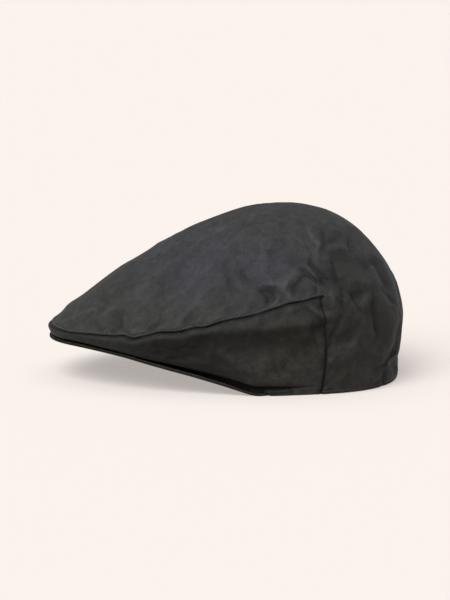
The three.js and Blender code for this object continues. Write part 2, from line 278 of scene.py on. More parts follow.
# %% The wall below the crown's seam
SEAM_BOW = 2.4
SEAM_BOW_WIDTH = 8
SEAM_FOOT = 2.0
HEM_FADE = (105, 125)


def wall_drop(angle, row):
    """How far down the wall a row lies. Near the temples it meets the front's roll and hem."""
    even = np.clip((row - EDGE_ROW) / (RIM_ROW - EDGE_ROW), 0, 1)
    height = section(angle, "edge_z")
    at_roll = 1 - (TUCK_GAP + PEAK_THICKNESS + roll_open(angle)) / height
    at_tuck = 1 - hem_height(angle) / height
    above = at_roll * (row - EDGE_ROW) / (ROLL_ROW - EDGE_ROW)
    middle = at_roll + (at_tuck - at_roll) * (row - ROLL_ROW) / (TUCK_ROW - ROLL_ROW)
    below = at_tuck + (1 - at_tuck) * (row - TUCK_ROW) / (RIM_ROW - TUCK_ROW)
    low = np.clip(np.where(row < ROLL_ROW, above, np.where(row < TUCK_ROW, middle, below)), 0, 1)
    return low + (even - low) * smoothstep(np.abs(angle), *HEM_FADE)


def plain_point(angle, row):
    """The cap's plain outer surface below the crown's seam."""
    drop = wall_drop(angle, row)
    near_seam = np.exp(-(((np.abs(angle) - TEMPLE_SEAM) / SEAM_BOW_WIDTH) ** 2))
    bow = SEAM_BOW * np.sin(np.pi * drop) - SEAM_FOOT * drop**3
    turned = angle + np.sign(angle) * bow * near_seam
    back_drop = wall_drop(turned, row)
    behind = wall_point(edge_point(turned), on_oval(RIM_OVAL, turned), back_drop)
    wall = blend(behind, front_point(turned, row), peak_share(turned))
    place = SEAM_PLACE + (1 - SEAM_PLACE) * np.clip(row - SEAM_ROW, 0, 1)
    rolled = crown_point(turned, place)
    return np.where((row < EDGE_ROW)[..., None], rolled, wall)


rim_ends = plain_point(np.array([0.0, 180.0]), np.array([RIM_ROW, RIM_ROW]))
print("the rim at the nose and the back, mm:", rim_ends.round(1).tolist())

# %% [markdown]
# ## Rows and columns of the cloth
# The cloth is a grid of columns round the cap and rows down it. Where two pieces meet, the real cloth
# turns under within a millimetre, so rows and columns crowd together at the seams and lie wider
# apart elsewhere. This cell sets out the columns round the widest edge by real length. A remesh would
# give even faces everywhere, and so either coarse seams or far too many faces.

# %% Columns round the cap
NEAR_SEAM = np.array([0, 0.12, 0.28, 0.5, 0.8, 1.15, 1.6, 2.2, 3.0, 4.0, 5.2, 6.6, 8.3, 10.2])
NEAR_RIM = np.array([0, 0.15, 0.4, 0.8, 1.4, 2.1, 3.0, 4.2])
FRONT_STEP = 1.8
BACK_STEP = 2.1
CROWN_STEPS = 66
DENSE_REACH = 42.0
DENSE_STEPS = 22
WALL_STEPS = 26
ROLL_STEPS = 10
FLANGE_STEPS = 14

FINE_ANGLES = np.linspace(0, 180, 3601)
EDGE_ARC = np.concatenate([[0], np.cumsum(np.linalg.norm(np.diff(
    edge_point(FINE_ANGLES)[:, :2], axis=0), axis=1))])
TEMPLE_ARC = np.interp(TEMPLE_SEAM, FINE_ANGLES, EDGE_ARC)


def even_steps(start, end, step):
    """Places between start and end, both left out, about a step apart."""
    count = max(2, round((end - start) / step))
    return np.linspace(start, end, count + 1)[1:-1]


reach = NEAR_SEAM[-1]
front_arcs = np.concatenate([
    NEAR_SEAM, even_steps(reach, TEMPLE_ARC - reach, FRONT_STEP), TEMPLE_ARC - NEAR_SEAM[::-1]])
back_arcs = np.concatenate([
    TEMPLE_ARC + NEAR_SEAM[1:], even_steps(TEMPLE_ARC + reach, EDGE_ARC[-1], BACK_STEP), EDGE_ARC[-1:]])
half_angles = np.interp(np.concatenate([front_arcs, back_arcs]), EDGE_ARC, FINE_ANGLES)
half_angles[len(front_arcs) - 1] = TEMPLE_SEAM
ANGLES = np.concatenate([half_angles, -half_angles[-2:0:-1]])
TEMPLE_COLUMN = len(front_arcs) - 1
COLUMNS = len(ANGLES)
print(COLUMNS, "columns,", TEMPLE_COLUMN, "of them from the nose to a temple seam")

# %% [markdown]
# ## A seam that isn't quite straight
# Where the crown is sewn to the side panels, the real seam dips and rises by a millimetre or two as the
# cloth was fed by hand. Such dips could be pulled into the finished mesh, but then both pieces would need
# the same pull. Here a short table holds the dips by their place along the cap, and the grid that both
# pieces share takes them.

# %% Dips of the crown's seam
FAR_DIP_SHIFT = 14.0
FAR_DIP_SHARE = -0.6
SEAM_DIPS = table("y width down", [
    (-38, 42, 2.0), (-143, 12, 1.0), (-103, 4, -0.9), (-94.5, 6, 1.6), (-77.5, 5, -0.8), (-62, 7, 1.2),
    (-42.5, 5, 1.1), (-27, 5, -0.5), (-14, 6, 0.7), (-6, 5, 0.6), (14, 9, -1.7),
])


def seam_dip(y, far):
    """How far down the seam lies at a place along the cap. The far side has its own dips."""
    shift = np.where(far, FAR_DIP_SHIFT, 0.0)
    share = np.where(far, FAR_DIP_SHARE, 1.0)
    total = np.zeros_like(y)
    for middle, width, down in zip(*SEAM_DIPS.values()):
        total += share * down * np.exp(-(((y - shift - middle) / width) ** 2))
    return total


dips = seam_dip(edge_point(ANGLES)[:, 1], ANGLES < 0)
print("the seam dips by", dips.min().round(2), "to", dips.max().round(2), "mm")

# %% [markdown]
# ## Rows by the tape
# Each column is first walked in fine steps from the top to the rim, and the length walked is kept, as on
# a maker's tape. The rows are then set out along the tape: close together on each side of the seam and
# at the rim, and even in between. The same number of rows on every column keeps the grid simple.

# %% Walk every column, then set out the rows
CROWN_WALK = 110
EDGE_WALK = 18
WALL_WALK = 40
LOW_WALK = 60
DIP_FADE_ANGLE = 6
SEAM_SQUEEZE = 0.45
TINY = 1e-9


def walk_columns():
    """Every column in fine steps: the row values, the points and the tape's reading at each."""
    crown_places = SEAM_PLACE * (1 - (1 - np.linspace(0, 1, CROWN_WALK)) ** 2)
    crown_rows = SEAM_ROW * crown_places / SEAM_PLACE
    edge_rows = EDGE_ROW - (1 - np.linspace(0, 1, EDGE_WALK)[1:]) ** 2
    wall_rows = np.linspace(EDGE_ROW, ROLL_ROW, WALL_WALK)[1:]
    low_rows = np.linspace(ROLL_ROW, RIM_ROW, LOW_WALK)[1:]
    rows = np.concatenate([crown_rows, edge_rows, wall_rows, low_rows])
    angle = np.repeat(ANGLES[:, None], len(rows), 1)
    row = np.repeat(rows[None], COLUMNS, 0)
    above = crown_point(angle, np.minimum(row / SEAM_ROW, 1) * SEAM_PLACE)
    walked = np.where((row <= SEAM_ROW)[..., None], above, plain_point(angle, row))
    tape = np.zeros_like(row)
    tape[:, 1:] = np.cumsum(np.linalg.norm(np.diff(walked, axis=1), axis=2), axis=1)
    return rows, walked, tape


def marks_between(start, end, count):
    """Even marks on every column's tape, from just after a start to an end."""
    return start[:, None] + (end - start)[:, None] * np.linspace(0, 1, count + 1)[None, 1:]


def set_out_marks(at_seam, at_roll, at_tuck, end):
    """The tape's reading at every row of the grid, and at the seam with its dips."""
    in_front = np.clip((TEMPLE_SEAM - np.abs(ANGLES)) / DIP_FADE_ANGLE, 0, 1)
    seam = at_seam + seam_dip(edge_point(ANGLES)[:, 1], ANGLES < 0) * in_front
    loose = seam[:, None] - DENSE_REACH
    far_part = np.linspace(0, 1, CROWN_STEPS - DENSE_STEPS)[None, :-1] * loose
    dense_run = DENSE_REACH - NEAR_SEAM[-1]
    dense_part = loose + dense_run * np.linspace(0, 1, DENSE_STEPS + 1)[None, :-1]
    near_above = seam[:, None] - NEAR_SEAM[None, ::-1]
    squeeze = np.minimum(1, SEAM_SQUEEZE * (at_roll - seam) / NEAR_SEAM[-1])[:, None]
    near_below = seam[:, None] + NEAR_SEAM[None, 1:] * squeeze
    wall_part = marks_between(near_below[:, -1], at_roll, WALL_STEPS)
    roll_part = marks_between(at_roll, at_tuck, ROLL_STEPS)
    flange_part = marks_between(at_tuck, end - NEAR_RIM[-1], FLANGE_STEPS)[:, :-1]
    near_rim = end[:, None] - NEAR_RIM[None, ::-1]
    crown_part = np.hstack([far_part, dense_part, near_above])
    side_part = np.hstack([near_below, wall_part, roll_part, flange_part, near_rim])
    return np.hstack([crown_part, side_part]), seam


print("even marks on one tape:", marks_between(np.zeros(1), np.ones(1), 4).tolist())

# %% The grid of the cloth
def lay_rows():
    """Plain points, row values and tape marks of the grid, and the tape at the seam and the rim."""
    rows, walked, tape = walk_columns()
    at_rows = [tape[:, np.searchsorted(rows, row - TINY)] for row in (SEAM_ROW, ROLL_ROW, TUCK_ROW)]
    end = tape[:, -1]
    marks, seam = set_out_marks(*at_rows, end)
    points = np.empty(marks.shape + (3,))
    values = np.empty(marks.shape)
    for c in range(COLUMNS):
        for k in range(3):
            points[c, :, k] = np.interp(marks[c], tape[c], walked[c, :, k])
        values[c] = np.interp(marks[c], tape[c], rows)
    return points, values, marks, seam, end


plain, row_values, tape_marks, seam_marks, end_marks = lay_rows()
SEAM_INDEX = CROWN_STEPS - 1 + len(NEAR_SEAM) - 1
ROWS = plain.shape[1]
print("grid:", plain.shape, "the seam is row", SEAM_INDEX)

# %% [markdown]
# ## Which way the cloth faces
# Folds stand out from the cloth, so each point needs its outward direction. Blender works out such
# directions for a finished mesh, but we need them before there is one. We take them from the faces
# round the point, weighted by their size, which also works at the top of the crown, where all the
# columns meet in one point.

# %% Outward directions
def outward(points):
    """Unit directions that stand out of a closed ring of columns."""
    around = np.roll(points, -1, axis=0)
    a, b = points[:, :-1], points[:, 1:]
    c, d = around[:, 1:], around[:, :-1]
    faces = np.cross(c - a, b - d)
    total = np.zeros_like(points)
    total[:, :-1] += faces
    total[:, 1:] += faces
    back = np.roll(faces, 1, axis=0)
    total[:, :-1] += back
    total[:, 1:] += back
    total[:, 0] = total[:, 0].sum(axis=0)
    return -total / np.maximum(np.linalg.norm(total, axis=2, keepdims=True), TINY)


plain_out = outward(plain)
print("the top faces", plain_out[0, 0].round(2).tolist())
print("the seam at the nose faces", plain_out[0, SEAM_INDEX].round(2).tolist())

# %% [markdown]
# ## Folds, dents and creases
# A worn cap never lies flat. The main folds are the ones that the solids have. Smaller creases, the
# puckers that the seam draws into the crown and a soft unevenness come on top. A sculptor would draw
# them with a brush. Here each one is a line on the cap's side with a width and a height, so it can
# be moved or softened by one number. The far side has the same kinds of creases in other places.

# %% Tables of folds, in side view and in back view
MAIN_FOLDS = table("from_y from_z to_y to_z width height", [
    (27, 91, 43, 82, 5, -3.4), (21, 83, 37, 78, 5, 1.6), (-1, 79, 2, 72, 5, -2.2),
    (-24, 101, -21, 74, 6, -1.8), (-2, 100, 0, 86, 6, 1.6), (48, 81, 53, 49, 5, 2.2),
    (58, 77, 71, 58, 6, -2.2), (76, 75, 70, 57, 6, 1.4), (58, 30, 74, 39, 6, 1.4),
    (41, 55, -32, 48, 5, 1.2), (-32, 48, -82, 40, 5, 1.0), (30, 36, -60, 31, 8, -1.9),
])
BACK_FOLDS = table("from_y from_z to_y to_z width height", [
    (57, 0, 31, 38, 6, -0.9), (31, 38, 21, 66, 7, -0.7), (70, 6, 47, 40, 7, 1.0),
    (0, 72, 40, 72, 12, 0.7), (0, 13, 45, 13, 9, -1.8),
])
CREASES = table("from_y from_z to_y to_z width height", [
    (27, 92, 37, 83, 2.6, -1.1), (32, 95, 49, 81, 3.4, -1.2), (28, 93, 39, 85, 1.9, 1.0),
    (-2, 77, 7, 70, 4.0, -1.3), (-3, 80, 8, 80, 2.2, 0.8), (17, 85, 8, 69, 2.2, 0.8),
    (24, 84, 19, 71, 2.4, -0.8), (36, 77, 37, 73, 1.8, -0.7), (50, 70, 53, 64, 1.6, -0.7),
    (48, 71, 50, 65, 1.5, 0.5), (27, 67, 37, 57, 2.4, -0.9), (24, 69, 43, 58, 2.0, 0.9),
    (34, 51, 43, 54, 2.5, -1.0), (55, 76, 54, 67, 2.4, -0.9), (64, 73, 70, 57, 2.2, -1.0),
    (73, 69, 70, 57, 1.8, 0.9), (76, 74, 80, 44, 4.0, -1.0), (55, 64, 48, 44, 2.2, -0.9),
    (48, 42, 46, 36, 2.0, -0.6), (69, 45, 62, 36, 2.4, 0.8), (81, 39, 76, 36, 2.4, -0.6),
    (50, 31, 47, 26, 3.0, 0.6), (25, 124, 37, 124, 1.5, 0.5), (42, 112, 43, 107, 3.0, -1.0),
    (43, 107, 51, 108, 2.5, -0.6), (61, 106, 62, 100, 2.2, -1.0), (56, 103, 63, 96, 2.0, 0.7),
    (74, 100, 77, 96, 2.5, -0.7), (31, 113, 38, 105, 2.2, 0.7), (49, 94, 53, 84, 4.0, -1.2),
    (53, 84, 65, 69, 3.6, -1.0), (80, 90, 88, 73, 6.0, -0.8), (-146, 44, -124, 56, 2.0, 0.8),
    (-143, 44, -121, 55, 2.2, -0.6), (-121, 50, -108, 59, 2.0, 0.7), (-119, 48, -105, 57, 2.5, -0.6),
    (-109, 49, -108, 43, 2.5, -1.1), (-106, 53, -102, 45, 2.5, -0.9), (-122, 46, -120, 43, 2.0, -0.6),
    (-120, 63, -117, 61, 2.0, -0.6), (-103, 40, -95, 38, 1.5, 0.8), (-29, 93, -24, 76, 5.0, -0.7),
    (-21, 90, -14, 81, 4.0, -0.6), (-5, 8, 25, 6, 2.5, -0.8),
])
DART = table("from_y from_z to_y to_z width height", [
    (86, 0, 88, 12, 0.9, -0.9), (88, 12, 94, 20, 0.9, -0.6), (94, 20, 97, 30, 0.9, -0.25),
    (97, 22, 89, 15, 1.5, 2.2), (89, 15, 77, 8, 1.5, 1.8),
])
TOP_SWELLS = table("y width height", [(-150, 9, 1.4), (-85, 15, -1.5), (-34, 12, -0.9)])
print(len(CREASES["width"]), "creases and", len(MAIN_FOLDS["width"]), "main folds")

# %% Profiles of folds, and a soft unevenness
CREASE_TIP = 0.6
CREASE_SPREAD = 0.75
WAVE_LENGTHS = (1.5, 2.6)


def soft_profile(gap, width):
    """A rounded fold."""
    return np.exp(-((gap / width) ** 2))


def crisp_profile(gap, width):
    """A pinched crease: a small round tip with straight flanks."""
    return np.exp(-(np.hypot(gap, CREASE_TIP) - CREASE_TIP) / (CREASE_SPREAD * width))


def fold_lines(points, folds, profile, shift_y=0.0, shift_z=0.0, across=1):
    """Height that a table of straight folds gives to points, seen from the side or the back."""
    spot = np.stack([np.abs(points[..., 0]) if across == 0 else points[..., 1], points[..., 2]], -1)
    total = np.zeros(points.shape[:-1])
    for from_y, from_z, to_y, to_z, width, height in zip(*folds.values()):
        start = np.array([from_y + shift_y, from_z + shift_z])
        way = np.array([to_y - from_y, to_z - from_z])
        share = np.clip(((spot - start) @ way) / (way @ way), 0, 1)
        gap = np.linalg.norm(spot - start - share[..., None] * way, axis=-1)
        total += height * profile(gap, width)
    return total


def unevenness(points, size, seed, waves=28):
    """A soft random field whose bumps are about a size across, from -1 to 1 or so."""
    rng = np.random.default_rng(seed)
    ways = rng.normal(size=(waves, 3))
    ways /= np.linalg.norm(ways, axis=1, keepdims=True)
    pace = 2 * np.pi / (size * rng.uniform(*WAVE_LENGTHS, waves))
    phase = rng.uniform(0, 2 * np.pi, waves)
    flat = points.reshape(-1, 3)
    total = np.cos(flat @ (ways * pace[:, None]).T + phase).sum(axis=1)
    return (total / math.sqrt(waves / 2)).reshape(points.shape[:-1])


print("a crease 2 mm wide keeps", crisp_profile(1.0, 2.0).round(2), "of its height 1 mm off its line")

# %% [markdown]
# ## Where folds may lie
# Sewing holds the cloth still: a fold fades out at a seam, at the rim, and where the cloth lies in the
# roll above the peak. A painter would mask those places. Here each mask is worked out from the tape,
# as the distance to the nearest seam or to the rim, and the folds' heights are multiplied by it.

# %% Masks, and the heights of the drawn folds
CALM_ANGLES = (99, TEMPLE_SEAM)
SIDE_FROM = (15, 45)
BACK_FROM = (60, 80)
SEAM_HOLD = 3.0
RIM_HOLD = 5
SWELL_FROM = (2, 20)
DART_FROM = (15, 30)
FAR_SHIFT_Y = 9.0
FAR_SHIFT_Z = -4.0
FAR_SHARE = 0.85
CREASE_SHARE = 2.1

sideways = np.abs(plain[..., 0])
near_side = plain[..., 0] > 0
on_side = smoothstep(sideways, *SIDE_FROM)
on_back = smoothstep(plain[..., 1], *BACK_FROM)
above_seam = np.maximum(seam_marks[:, None] - tape_marks, 0)
below_seam = np.maximum(tape_marks - seam_marks[:, None], 0)
from_rim = end_marks[:, None] - tape_marks
angle_grid = np.repeat(ANGLES[:, None], ROWS, 1)
in_front = np.abs(angle_grid) < TEMPLE_SEAM
calm = np.maximum(peak_share(angle_grid), 1 - smoothstep(np.abs(angle_grid), *CALM_ANGLES))
lying = np.where(row_values < ROLL_ROW - 1, 0, calm)
seam_hold = np.where(in_front, 1 - np.exp(-(((above_seam + below_seam) / SEAM_HOLD) ** 2)), 1)
rim_hold = 1 - np.exp(-((from_rim / RIM_HOLD) ** 2))

main_height = on_side * fold_lines(plain, MAIN_FOLDS, soft_profile)
main_height += on_back * fold_lines(plain, BACK_FOLDS, soft_profile, across=0)
for swell_y, swell_width, swell_height in zip(*TOP_SWELLS.values()):
    swell = swell_height * np.exp(-(((plain[..., 1] - swell_y) / swell_width) ** 2))
    main_height += swell * smoothstep(above_seam, *SWELL_FROM)
crease_near = fold_lines(plain, CREASES, crisp_profile)
crease_far = FAR_SHARE * fold_lines(plain, CREASES, crisp_profile, FAR_SHIFT_Y, FAR_SHIFT_Z)
crease_height = CREASE_SHARE * on_side * np.where(near_side, crease_near, crease_far)
dart_height = fold_lines(plain, DART, crisp_profile)
dart_height = smoothstep(sideways, *DART_FROM) * on_back * dart_height
print("folds stand from", main_height.min().round(2), "to", main_height.max().round(2), "mm")

# %% [markdown]
# ## The ledge under the seam
# Between the crown's seam and the panel's own fullness the cloth is pulled out into a ledge: it swells
# slowly from the seam and then drops off sharply along a line, which is dark from below, and painted
# shade darkens it further. One line across the panel gives it, with a wide flank above and a narrow one
# below.

# %% Ledge across the side panel
LEDGE = table("y z height", [
    (-128, 35.5, 0.2), (-105, 36.0, 1.0), (-82, 39.5, 1.8), (-32, 47.0, 2.2), (10, 51.5, 2.2),
    (38, 55.0, 2.4), (50, 56.5, 2.0),
])
LEDGE_ABOVE = 9.0
LEDGE_BELOW = 3.4
FAR_LEDGE_SHIFT = -6.0
FAR_LEDGE_SHARE = 0.8


def ledge(points, shift_y):
    """The ledge's height, from how far a point lies above or below its line."""
    y = np.clip(points[..., 1] - shift_y, LEDGE["y"][0], LEDGE["y"][-1])
    line_z = along(LEDGE, "y", "z", y)
    above = points[..., 2] - line_z
    width = np.where(above > 0, LEDGE_ABOVE, LEDGE_BELOW)
    return along(LEDGE, "y", "height", y) * np.exp(-((above / width) ** 2))


far_ledge = FAR_LEDGE_SHARE * ledge(plain, FAR_LEDGE_SHIFT)
ledge_height = on_side * in_front * np.where(near_side, ledge(plain, 0.0), far_ledge)
print("the ledge stands out by", ledge_height.max().round(2), "mm")

# %% [markdown]
# ## Puckers along the seam
# The seam's thread draws up the cloth above it, so small dents and ridges fan out over the first
# centimetre. A table gives the clearest ones on the near side: where each meets the seam, how wide and
# deep it is, how far it reaches and how it leans. The far side's are drawn by a seeded dice.

# %% Puckers above and below the crown's seam
PUCKERS = table("y width height reach lean", [
    (-143, 2.5, -0.5, 7, 0.2), (-131, 2.5, -0.5, 7, 0.2), (-121, 2.0, -0.9, 9, 0.2),
    (-116, 1.6, 0.5, 8, 0.1), (-111, 2.2, -1.1, 10, 0.0), (-105.5, 2.0, 0.6, 9, 0.1),
    (-101, 2.2, -0.9, 9, -0.1), (-96, 2.2, 0.7, 10, 0.1), (-92.5, 1.8, -0.7, 8, 0.0),
    (-87.5, 2.4, 0.8, 10, 0.1), (-82.7, 2.6, -1.6, 12, 0.1), (-77, 2.5, 0.7, 10, 0.2),
    (-70, 3.0, -0.5, 9, 0.1), (-64, 2.5, 0.5, 9, 0.1), (-57.5, 3.0, -1.2, 11, 0.2),
    (-51, 3.0, 0.7, 12, 0.1), (-44, 3.0, -0.6, 9, 0.2), (-35, 3.5, 0.5, 9, 0.0),
    (-27, 3.5, -0.6, 10, 0.1), (-17, 3.5, 0.5, 10, 0.1), (-9, 3.0, -0.5, 8, -0.1),
    (-1, 2.6, -1.3, 12, 0.4), (6, 2.2, 0.7, 10, 0.2), (12.5, 2.2, -1.0, 14, -0.3),
    (18, 2.0, 0.8, 11, -0.2), (25, 2.5, -0.8, 9, 0.3), (31, 2.0, 0.5, 7, 0.0),
])
PUCKER_SHARE = 2.0
PUCKER_BELOW = 0.5
PUCKER_BELOW_REACH = 0.7
PUCKERS_FROM = -148.0
PUCKERS_TO = 34
FAR_PUCKER_SEED = 61
FAR_PUCKER_GAP = (4.5, 9.5)
FAR_PUCKER_WIDTH = (1.8, 3.2)
FAR_PUCKER_HEIGHT = (0.4, 1.3)
FAR_PUCKER_REACH = (7, 13)
FAR_PUCKER_LEAN = (-0.3, 0.4)

print(len(PUCKERS["y"]), "puckers on the near side")

# %% Their heights, and the far side's puckers
def far_puckers():
    """A table of puckers like the near side's, at random places."""
    rng = np.random.default_rng(FAR_PUCKER_SEED)
    rows = []
    y = PUCKERS_FROM
    sign = -1
    while y < PUCKERS_TO:
        width = rng.uniform(*FAR_PUCKER_WIDTH)
        height = sign * rng.uniform(*FAR_PUCKER_HEIGHT)
        reach = rng.uniform(*FAR_PUCKER_REACH)
        rows.append((y, width, height, reach, rng.uniform(*FAR_PUCKER_LEAN)))
        y += rng.uniform(*FAR_PUCKER_GAP)
        sign = -sign
    return table("y width height reach lean", rows)


def pucker_height(puckers):
    """Height of a table of puckers, at its full near the seam and fading away from it."""
    total = np.zeros_like(above_seam)
    foot_y = plain[:, SEAM_INDEX, 1][:, None]
    for y, width, height, reach, lean in zip(*puckers.values()):
        gap = foot_y - y - lean * above_seam
        fade_above = np.exp(-((above_seam / reach) ** 2))
        fade_below = PUCKER_BELOW * np.exp(-((below_seam / (PUCKER_BELOW_REACH * reach)) ** 2))
        fade = np.where(below_seam > 0, fade_below, fade_above)
        total += height * crisp_profile(gap, width) * fade
    return PUCKER_SHARE * total * in_front


puckers = np.where(near_side, pucker_height(PUCKERS), pucker_height(far_puckers()))
print("puckers stand from", puckers.min().round(2), "to", puckers.max().round(2), "mm")

# %% [markdown]
# ## All that is drawn
# The folds, the ledge, the creases, the puckers and the darts are added up, with a soft unevenness at
# three sizes that keeps any part of the cloth from being quite smooth. The total moves each point
# along its outward direction.

# %% The cloth with its drawn folds
BROAD = dict(size=34, seed=21)
MIDDLE = dict(size=15, seed=22)
RIDGES = dict(size=26, seed=23)
BROAD_HEIGHT = 0.16
MIDDLE_HEIGHT = 0.14
RIDGE_HEIGHT = 0.2
RIDGE_LEVEL = 0.55

broad = BROAD_HEIGHT * unevenness(plain, **BROAD)
middle = MIDDLE_HEIGHT * unevenness(plain, **MIDDLE)
ridged = RIDGE_HEIGHT * (RIDGE_LEVEL - np.abs(unevenness(plain, **RIDGES)))
soft_height = broad + middle + ridged
fine_height = (crease_height + puckers) * seam_hold * rim_hold
fold_height = (main_height + ledge_height + soft_height) * seam_hold * rim_hold
fold_height = (fold_height + fine_height + dart_height) * (1 - lying)
fold_height[:, 0] = fold_height[:, 0].mean()
cloth = plain + plain_out * fold_height[..., None]
cloth_out = outward(cloth)
print("with creases:", fold_height.min().round(2), "to", fold_height.max().round(2), "mm")

# %% [markdown]
# ## Letting the cloth settle
# Drawn folds alone look drawn. So a coarse sheet with the same form is given about two per cent more
# cloth than it has room for. It is held at the seams, at the rim and in the roll, has only a faint pull
# to its place elsewhere, and is left to Blender's cloth solver, where it buckles into the small
# irregular wrinkles that sewn cloth has. The sheet takes every few columns and rows of the grid, always
# with the seams among them. We read how far each point moved in or out, leave out what moved the whole
# form, and spread the rest over the fine grid, softened at the top and toward the nose, where the cloth
# is tight. The grid itself has too many points for the solver.

# %% From the fine grid to a coarse one, and back
SHORT_STEP = 0.6


def spaced(marks, step, keep):
    """Numbers of marks that are at least a step apart. The kept ones are always among them."""
    chosen = []
    for k, mark in enumerate(marks):
        while chosen and k in keep and mark - marks[chosen[-1]] < SHORT_STEP * step:
            if chosen[-1] in keep:
                break
            chosen.pop()
        if k in keep or not chosen or mark - marks[chosen[-1]] >= step:
            chosen.append(k)
    return np.array(chosen)


def between(values, places, count, ring):
    """Values given at some places of a row of count, spread smoothly over all of it. Axis 0 is the row."""
    at = np.arange(count)
    if ring:
        values = np.concatenate([values[-2:], values, values[:3]])
        places = np.concatenate([places[-2:] - count, places, places[:3] + count])
    else:
        values = np.concatenate([values[:1], values, values[-1:]])
        places = np.concatenate([[places[0] - 1], places, [places[-1] + 1]])
    k = np.clip(np.searchsorted(places, at, side="right") - 1, 1, len(places) - 3)
    t = ((at - places[k]) / (places[k + 1] - places[k]))[:, None]
    a, b, c, d = values[k - 1], values[k], values[k + 1], values[k + 2]
    return b + 0.5 * t * (c - a + t * (2 * a - 5 * b + 4 * c - d + t * (3 * (b - c) + d - a)))


print("marks 1 apart, taken 3 apart:", spaced(np.arange(10), 3, {0, 9}).tolist())

# %% The cloth solver
SHEET_FRAMES = 28
SLACK = 0.022


def settle(points, out, held):
    """How far a ring-shaped sheet moves along its outward directions when it settles."""
    columns, rows = points.shape[:2]
    number = np.arange(columns * rows).reshape(columns, rows)
    around = np.roll(number, -1, axis=0)
    quads = np.stack([number[:, :-1], number[:, 1:], around[:, 1:], around[:, :-1]], -1).reshape(-1, 4)
    mesh = bpy.data.meshes.new("settling_sheet")
    mesh.from_pydata((points * MM).reshape(-1, 3).tolist(), [], quads.tolist())
    sheet = bpy.data.objects.new("settling_sheet", mesh)
    bpy.context.scene.collection.objects.link(sheet)
    group = sheet.vertex_groups.new(name="held")
    flat_held = held.ravel()
    for level in np.unique(flat_held):
        group.add(np.flatnonzero(flat_held == level).tolist(), float(level), "REPLACE")
    solver = sheet.modifiers.new("settle", "CLOTH")
    setup = solver.settings
    setup.quality = 6
    setup.mass = 0.05
    setup.tension_stiffness = 40
    setup.compression_stiffness = 40
    setup.shear_stiffness = 10
    setup.bending_stiffness = 0.3
    setup.tension_damping = 5
    setup.compression_damping = 5
    setup.bending_damping = 0.5
    setup.air_damping = 1.5
    setup.vertex_group_mass = "held"
    setup.pin_stiffness = 1.0
    setup.shrink_min = -SLACK
    setup.shrink_max = -SLACK
    setup.effector_weights.gravity = 0
    solver.collision_settings.use_collision = False
    solver.point_cache.frame_start = 1
    solver.point_cache.frame_end = SHEET_FRAMES
    for frame_number in range(1, SHEET_FRAMES + 1):
        bpy.context.scene.frame_set(frame_number)
    settled = sheet.evaluated_get(bpy.context.evaluated_depsgraph_get()).to_mesh()
    places = np.empty(len(settled.vertices) * 3)
    settled.vertices.foreach_get("co", places)
    bpy.context.scene.frame_set(1)
    bpy.data.objects.remove(sheet)
    moved = places.reshape(columns, rows, 3) / MM - points
    return (moved * out).sum(axis=-1)


print("the sheet gets", SLACK, "more cloth and", SHEET_FRAMES, "frames to settle")

# %% Settle the sheet and add its wrinkles
SHEET_STEP = 2.6
FREE_HOLD = 0.02
FORM_PASSES = 12
WRINKLE_CAP = 1.9
WRINKLE_SHARE = 0.85
WRINKLE_FROM = (4, 20)
TIGHT_FROM = (70, 115)
TIGHT_SHARE = 0.7


def without_form(height, passes):
    """A height field less its own broad average."""
    smooth = height
    for _ in range(passes):
        smooth = (np.roll(smooth, 1, 0) + 2 * smooth + np.roll(smooth, -1, 0)) / 4
        inner = (smooth[:, :-2] + 2 * smooth[:, 1:-1] + smooth[:, 2:]) / 4
        smooth = np.hstack([smooth[:, :1], inner, smooth[:, -1:]])
    return height - smooth


wrinkles = np.zeros_like(fold_height)
arc_steps = np.linalg.norm(np.diff(plain[:, SEAM_INDEX], axis=0), axis=1)
arc_marks = np.concatenate([[0], np.cumsum(arc_steps)])
sheet_columns = spaced(arc_marks, SHEET_STEP, {0, TEMPLE_COLUMN, COLUMNS - TEMPLE_COLUMN})
row_marks = tape_marks[:TEMPLE_COLUMN].mean(axis=0)
sheet_rows = spaced(row_marks, SHEET_STEP, {SEAM_INDEX, ROWS - 1})[1:]
pick = np.ix_(sheet_columns, sheet_rows)
held = np.full(angle_grid.shape, FREE_HOLD)
held[lying > 0.5] = 1
held[:, -1] = 1
held[in_front[:, 0], SEAM_INDEX] = 1
held[TEMPLE_COLUMN, SEAM_INDEX:] = 1
held[COLUMNS - TEMPLE_COLUMN, SEAM_INDEX:] = 1
coarse = settle(cloth[pick], cloth_out[pick], held[pick])
coarse = without_form(coarse, FORM_PASSES)
print("sheet", coarse.shape, "moves", coarse.min().round(2), "to", coarse.max().round(2), "mm")
over_rows = between(coarse.T, sheet_rows, ROWS, False)
wrinkles = between(over_rows.T, sheet_columns, COLUMNS, True)
wrinkles = WRINKLE_CAP * np.tanh(wrinkles / WRINKLE_CAP) * (1 - lying)
loose_share = 1 - TIGHT_SHARE * smoothstep(-plain[..., 1], *TIGHT_FROM)
wrinkles *= WRINKLE_SHARE * smoothstep(tape_marks, *WRINKLE_FROM) * loose_share
cloth = cloth + cloth_out * wrinkles[..., None]
cloth_out = outward(cloth)
fine_height = fine_height + wrinkles
print("wrinkles spread by", wrinkles.std().round(3), "mm")

# %% [markdown]
# ## From a grid to a sewn piece
# A piece of cloth is a closed wall: an outer skin, an inner skin a cloth's thickness below it, and rounded
# edges where it turns under. We choose the cells of the grid that belong to a piece, build both skins
# from them, and close the borders. Blender's Solidify could thicken a sheet too, but here the edges
# have to turn under at the seams only as far as the cloth is thick.

